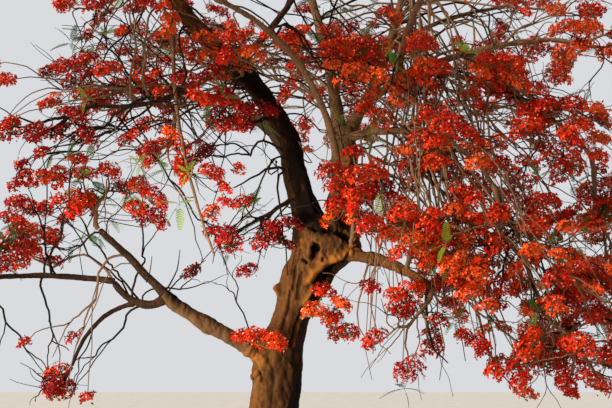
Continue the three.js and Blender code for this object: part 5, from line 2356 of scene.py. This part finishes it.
@dataclass(frozen=True)
class Studio:
    """A plain pale studio with soft light, and the camera where the photograph was taken from."""

    eye: Place = (0.42, -11.0, 1.6)  # the camera's place, in metres
    pitch: float = 10.3  # how far it looks up, in degrees
    focal_px: float = 917.0  # its focal length in pixels of the photograph
    width_px: float = 612.0  # the photograph's width
    sensor_mm: float = 36.0
    floor_size: float = 120.0

    def build(self) -> None:
        """Sets up the camera, the lights, the sky and the floor."""
        self.place_camera()
        self.hang_sky()
        self.hang_lights()
        self.lay_floor()

    def place_camera(self) -> None:
        """Puts the camera where the photograph was taken from."""
        data = bpy.data.cameras.new("camera")
        data.sensor_width = self.sensor_mm
        data.lens = data.sensor_width * self.focal_px / self.width_px
        data.clip_end = 400.0
        camera = bpy.data.objects.new("camera", data)
        camera.location = self.eye
        camera.rotation_euler = (math.radians(90 + self.pitch), 0, 0)
        put_in_scene(camera)
        bpy.context.scene.camera = camera

    @staticmethod
    def hang_sky() -> None:
        """Fills in the light from a sky that is dimmer behind the camera."""
        world = bpy.data.worlds.new("pale_sky")
        world.use_nodes = True
        tree = world.node_tree
        tree.nodes.clear()
        around = add_node(tree, "ShaderNodeTexCoord").outputs["Generated"]
        turned = add_node(tree, "ShaderNodeMapping", {"Rotation": (0, 0, math.radians(-28))},
                          {"Vector": around}).outputs["Vector"]
        depth = add_node(tree, "ShaderNodeSeparateXYZ", links={0: turned}).outputs["Y"]
        strength = add_node(tree, "ShaderNodeMapRange", {"From Min": -0.6, "From Max": 0.6, "To Min": 0.24,
                                                         "To Max": 1.0}, {"Value": depth})
        sky = add_node(tree, "ShaderNodeBackground", {"Color": linear("#D9DBDE")},
                       {"Strength": strength.outputs["Result"]})
        add_node(tree, "ShaderNodeOutputWorld", links={"Surface": sky.outputs["Background"]})
        bpy.context.scene.world = world
        bpy.context.scene.view_settings.view_transform = "Standard"  # keeps the reds from washing out

    @staticmethod
    def hang_lights() -> None:
        """Hangs a soft sun at the left and a soft lamp low in front of the trunk."""
        for kind, power, size, place, turn in (
                ("SUN", 3.7, math.radians(7), (0, 0, 9), (54, 0, -62)),
                ("AREA", 38.0, 1.4, (-3.8, -4.8, 1.5), (105, 0, -41))):
            data = bpy.data.lights.new(f"soft_{kind.lower()}", kind)
            data.energy = power
            data.color = linear("#FFF1DC")[:3]
            if kind == "SUN":
                data.angle = size
            else:
                data.size = size
                data.spread = math.radians(46)
            lamp = bpy.data.objects.new(data.name, data)
            lamp.location = place
            lamp.rotation_euler = [math.radians(angle) for angle in turn]
            lamp.visible_camera = False
            put_in_scene(lamp)

    def lay_floor(self) -> None:
        """Lays the pale floor: matt plaster, with a broad cloudiness that is hardly seen."""
        bpy.ops.object.select_all(action="DESELECT")
        bpy.ops.mesh.primitive_plane_add(size=self.floor_size)
        floor = bpy.context.object
        floor.name = "pale_floor"
        material, tree = new_tree("pale_plaster_floor")
        place = add_node(tree, "ShaderNodeTexCoord").outputs["Object"]
        grain = add_node(tree, "ShaderNodeTexNoise", {"Scale": 1.5, "Detail": 4.0}, {"Vector": place})
        colour = set_stops(add_node(tree, "ShaderNodeValToRGB", links={"Fac": grain.outputs["Fac"]}),
                           [(0.3, "#C9C7C2"), (0.7, "#D3D1CC")])
        shader = add_node(tree, "ShaderNodeBsdfPrincipled", {"Roughness": 0.95}, {"Base Color": colour})
        add_node(tree, "ShaderNodeOutputMaterial", links={"Surface": shader.outputs["BSDF"]})
        floor.data.materials.append(material)
        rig.stage(floor)


def write_sizes() -> None:
    """Writes the solids' box and the visual model's box for comparison."""
    boxes = {"cad": CAD_BOX, "visual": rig.bounds()}
    plain = {name: [[float(value) for value in corner] for corner in box] for name, box in boxes.items()}
    with open("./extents.json", "w", encoding="utf-8") as file:
        json.dump(plain, file)


def main() -> None:
    """Builds the studio, the wood and the crown in order."""
    logging.basicConfig(level=logging.INFO, format="%(message)s", stream=sys.stdout)
    Studio().build()
    limbs = lay_out_limbs()
    old = OldWood(limbs)
    settle(old.build(), tuple(old.greyness), "trunk_bark")
    for piece in YoungBoughs(limbs).build(tuple(old.greyness)):
        settle(piece, (piece.name.removesuffix("_bark"),), "bough_bark")
    crown = Crown(limbs)
    replaced = [mass.name for mass in MASSES]
    for name, finish in (("pale_twigs", PALE_TWIG), ("dark_twigs", DARK_TWIG)):
        for piece in mesh_objects(name, crown.twig_shape(name == "pale_twigs"), finish.material()):
            settle(piece, replaced)
            replaced = []
    for piece in Blossom(crown.heads).build():
        settle(piece, slot="blossom" if piece.name.startswith("petals") else None)
    for piece in Foliage(crown.leaf_sprays).build():
        settle(piece)
    write_sizes()


if __name__ == "__main__":
    main()
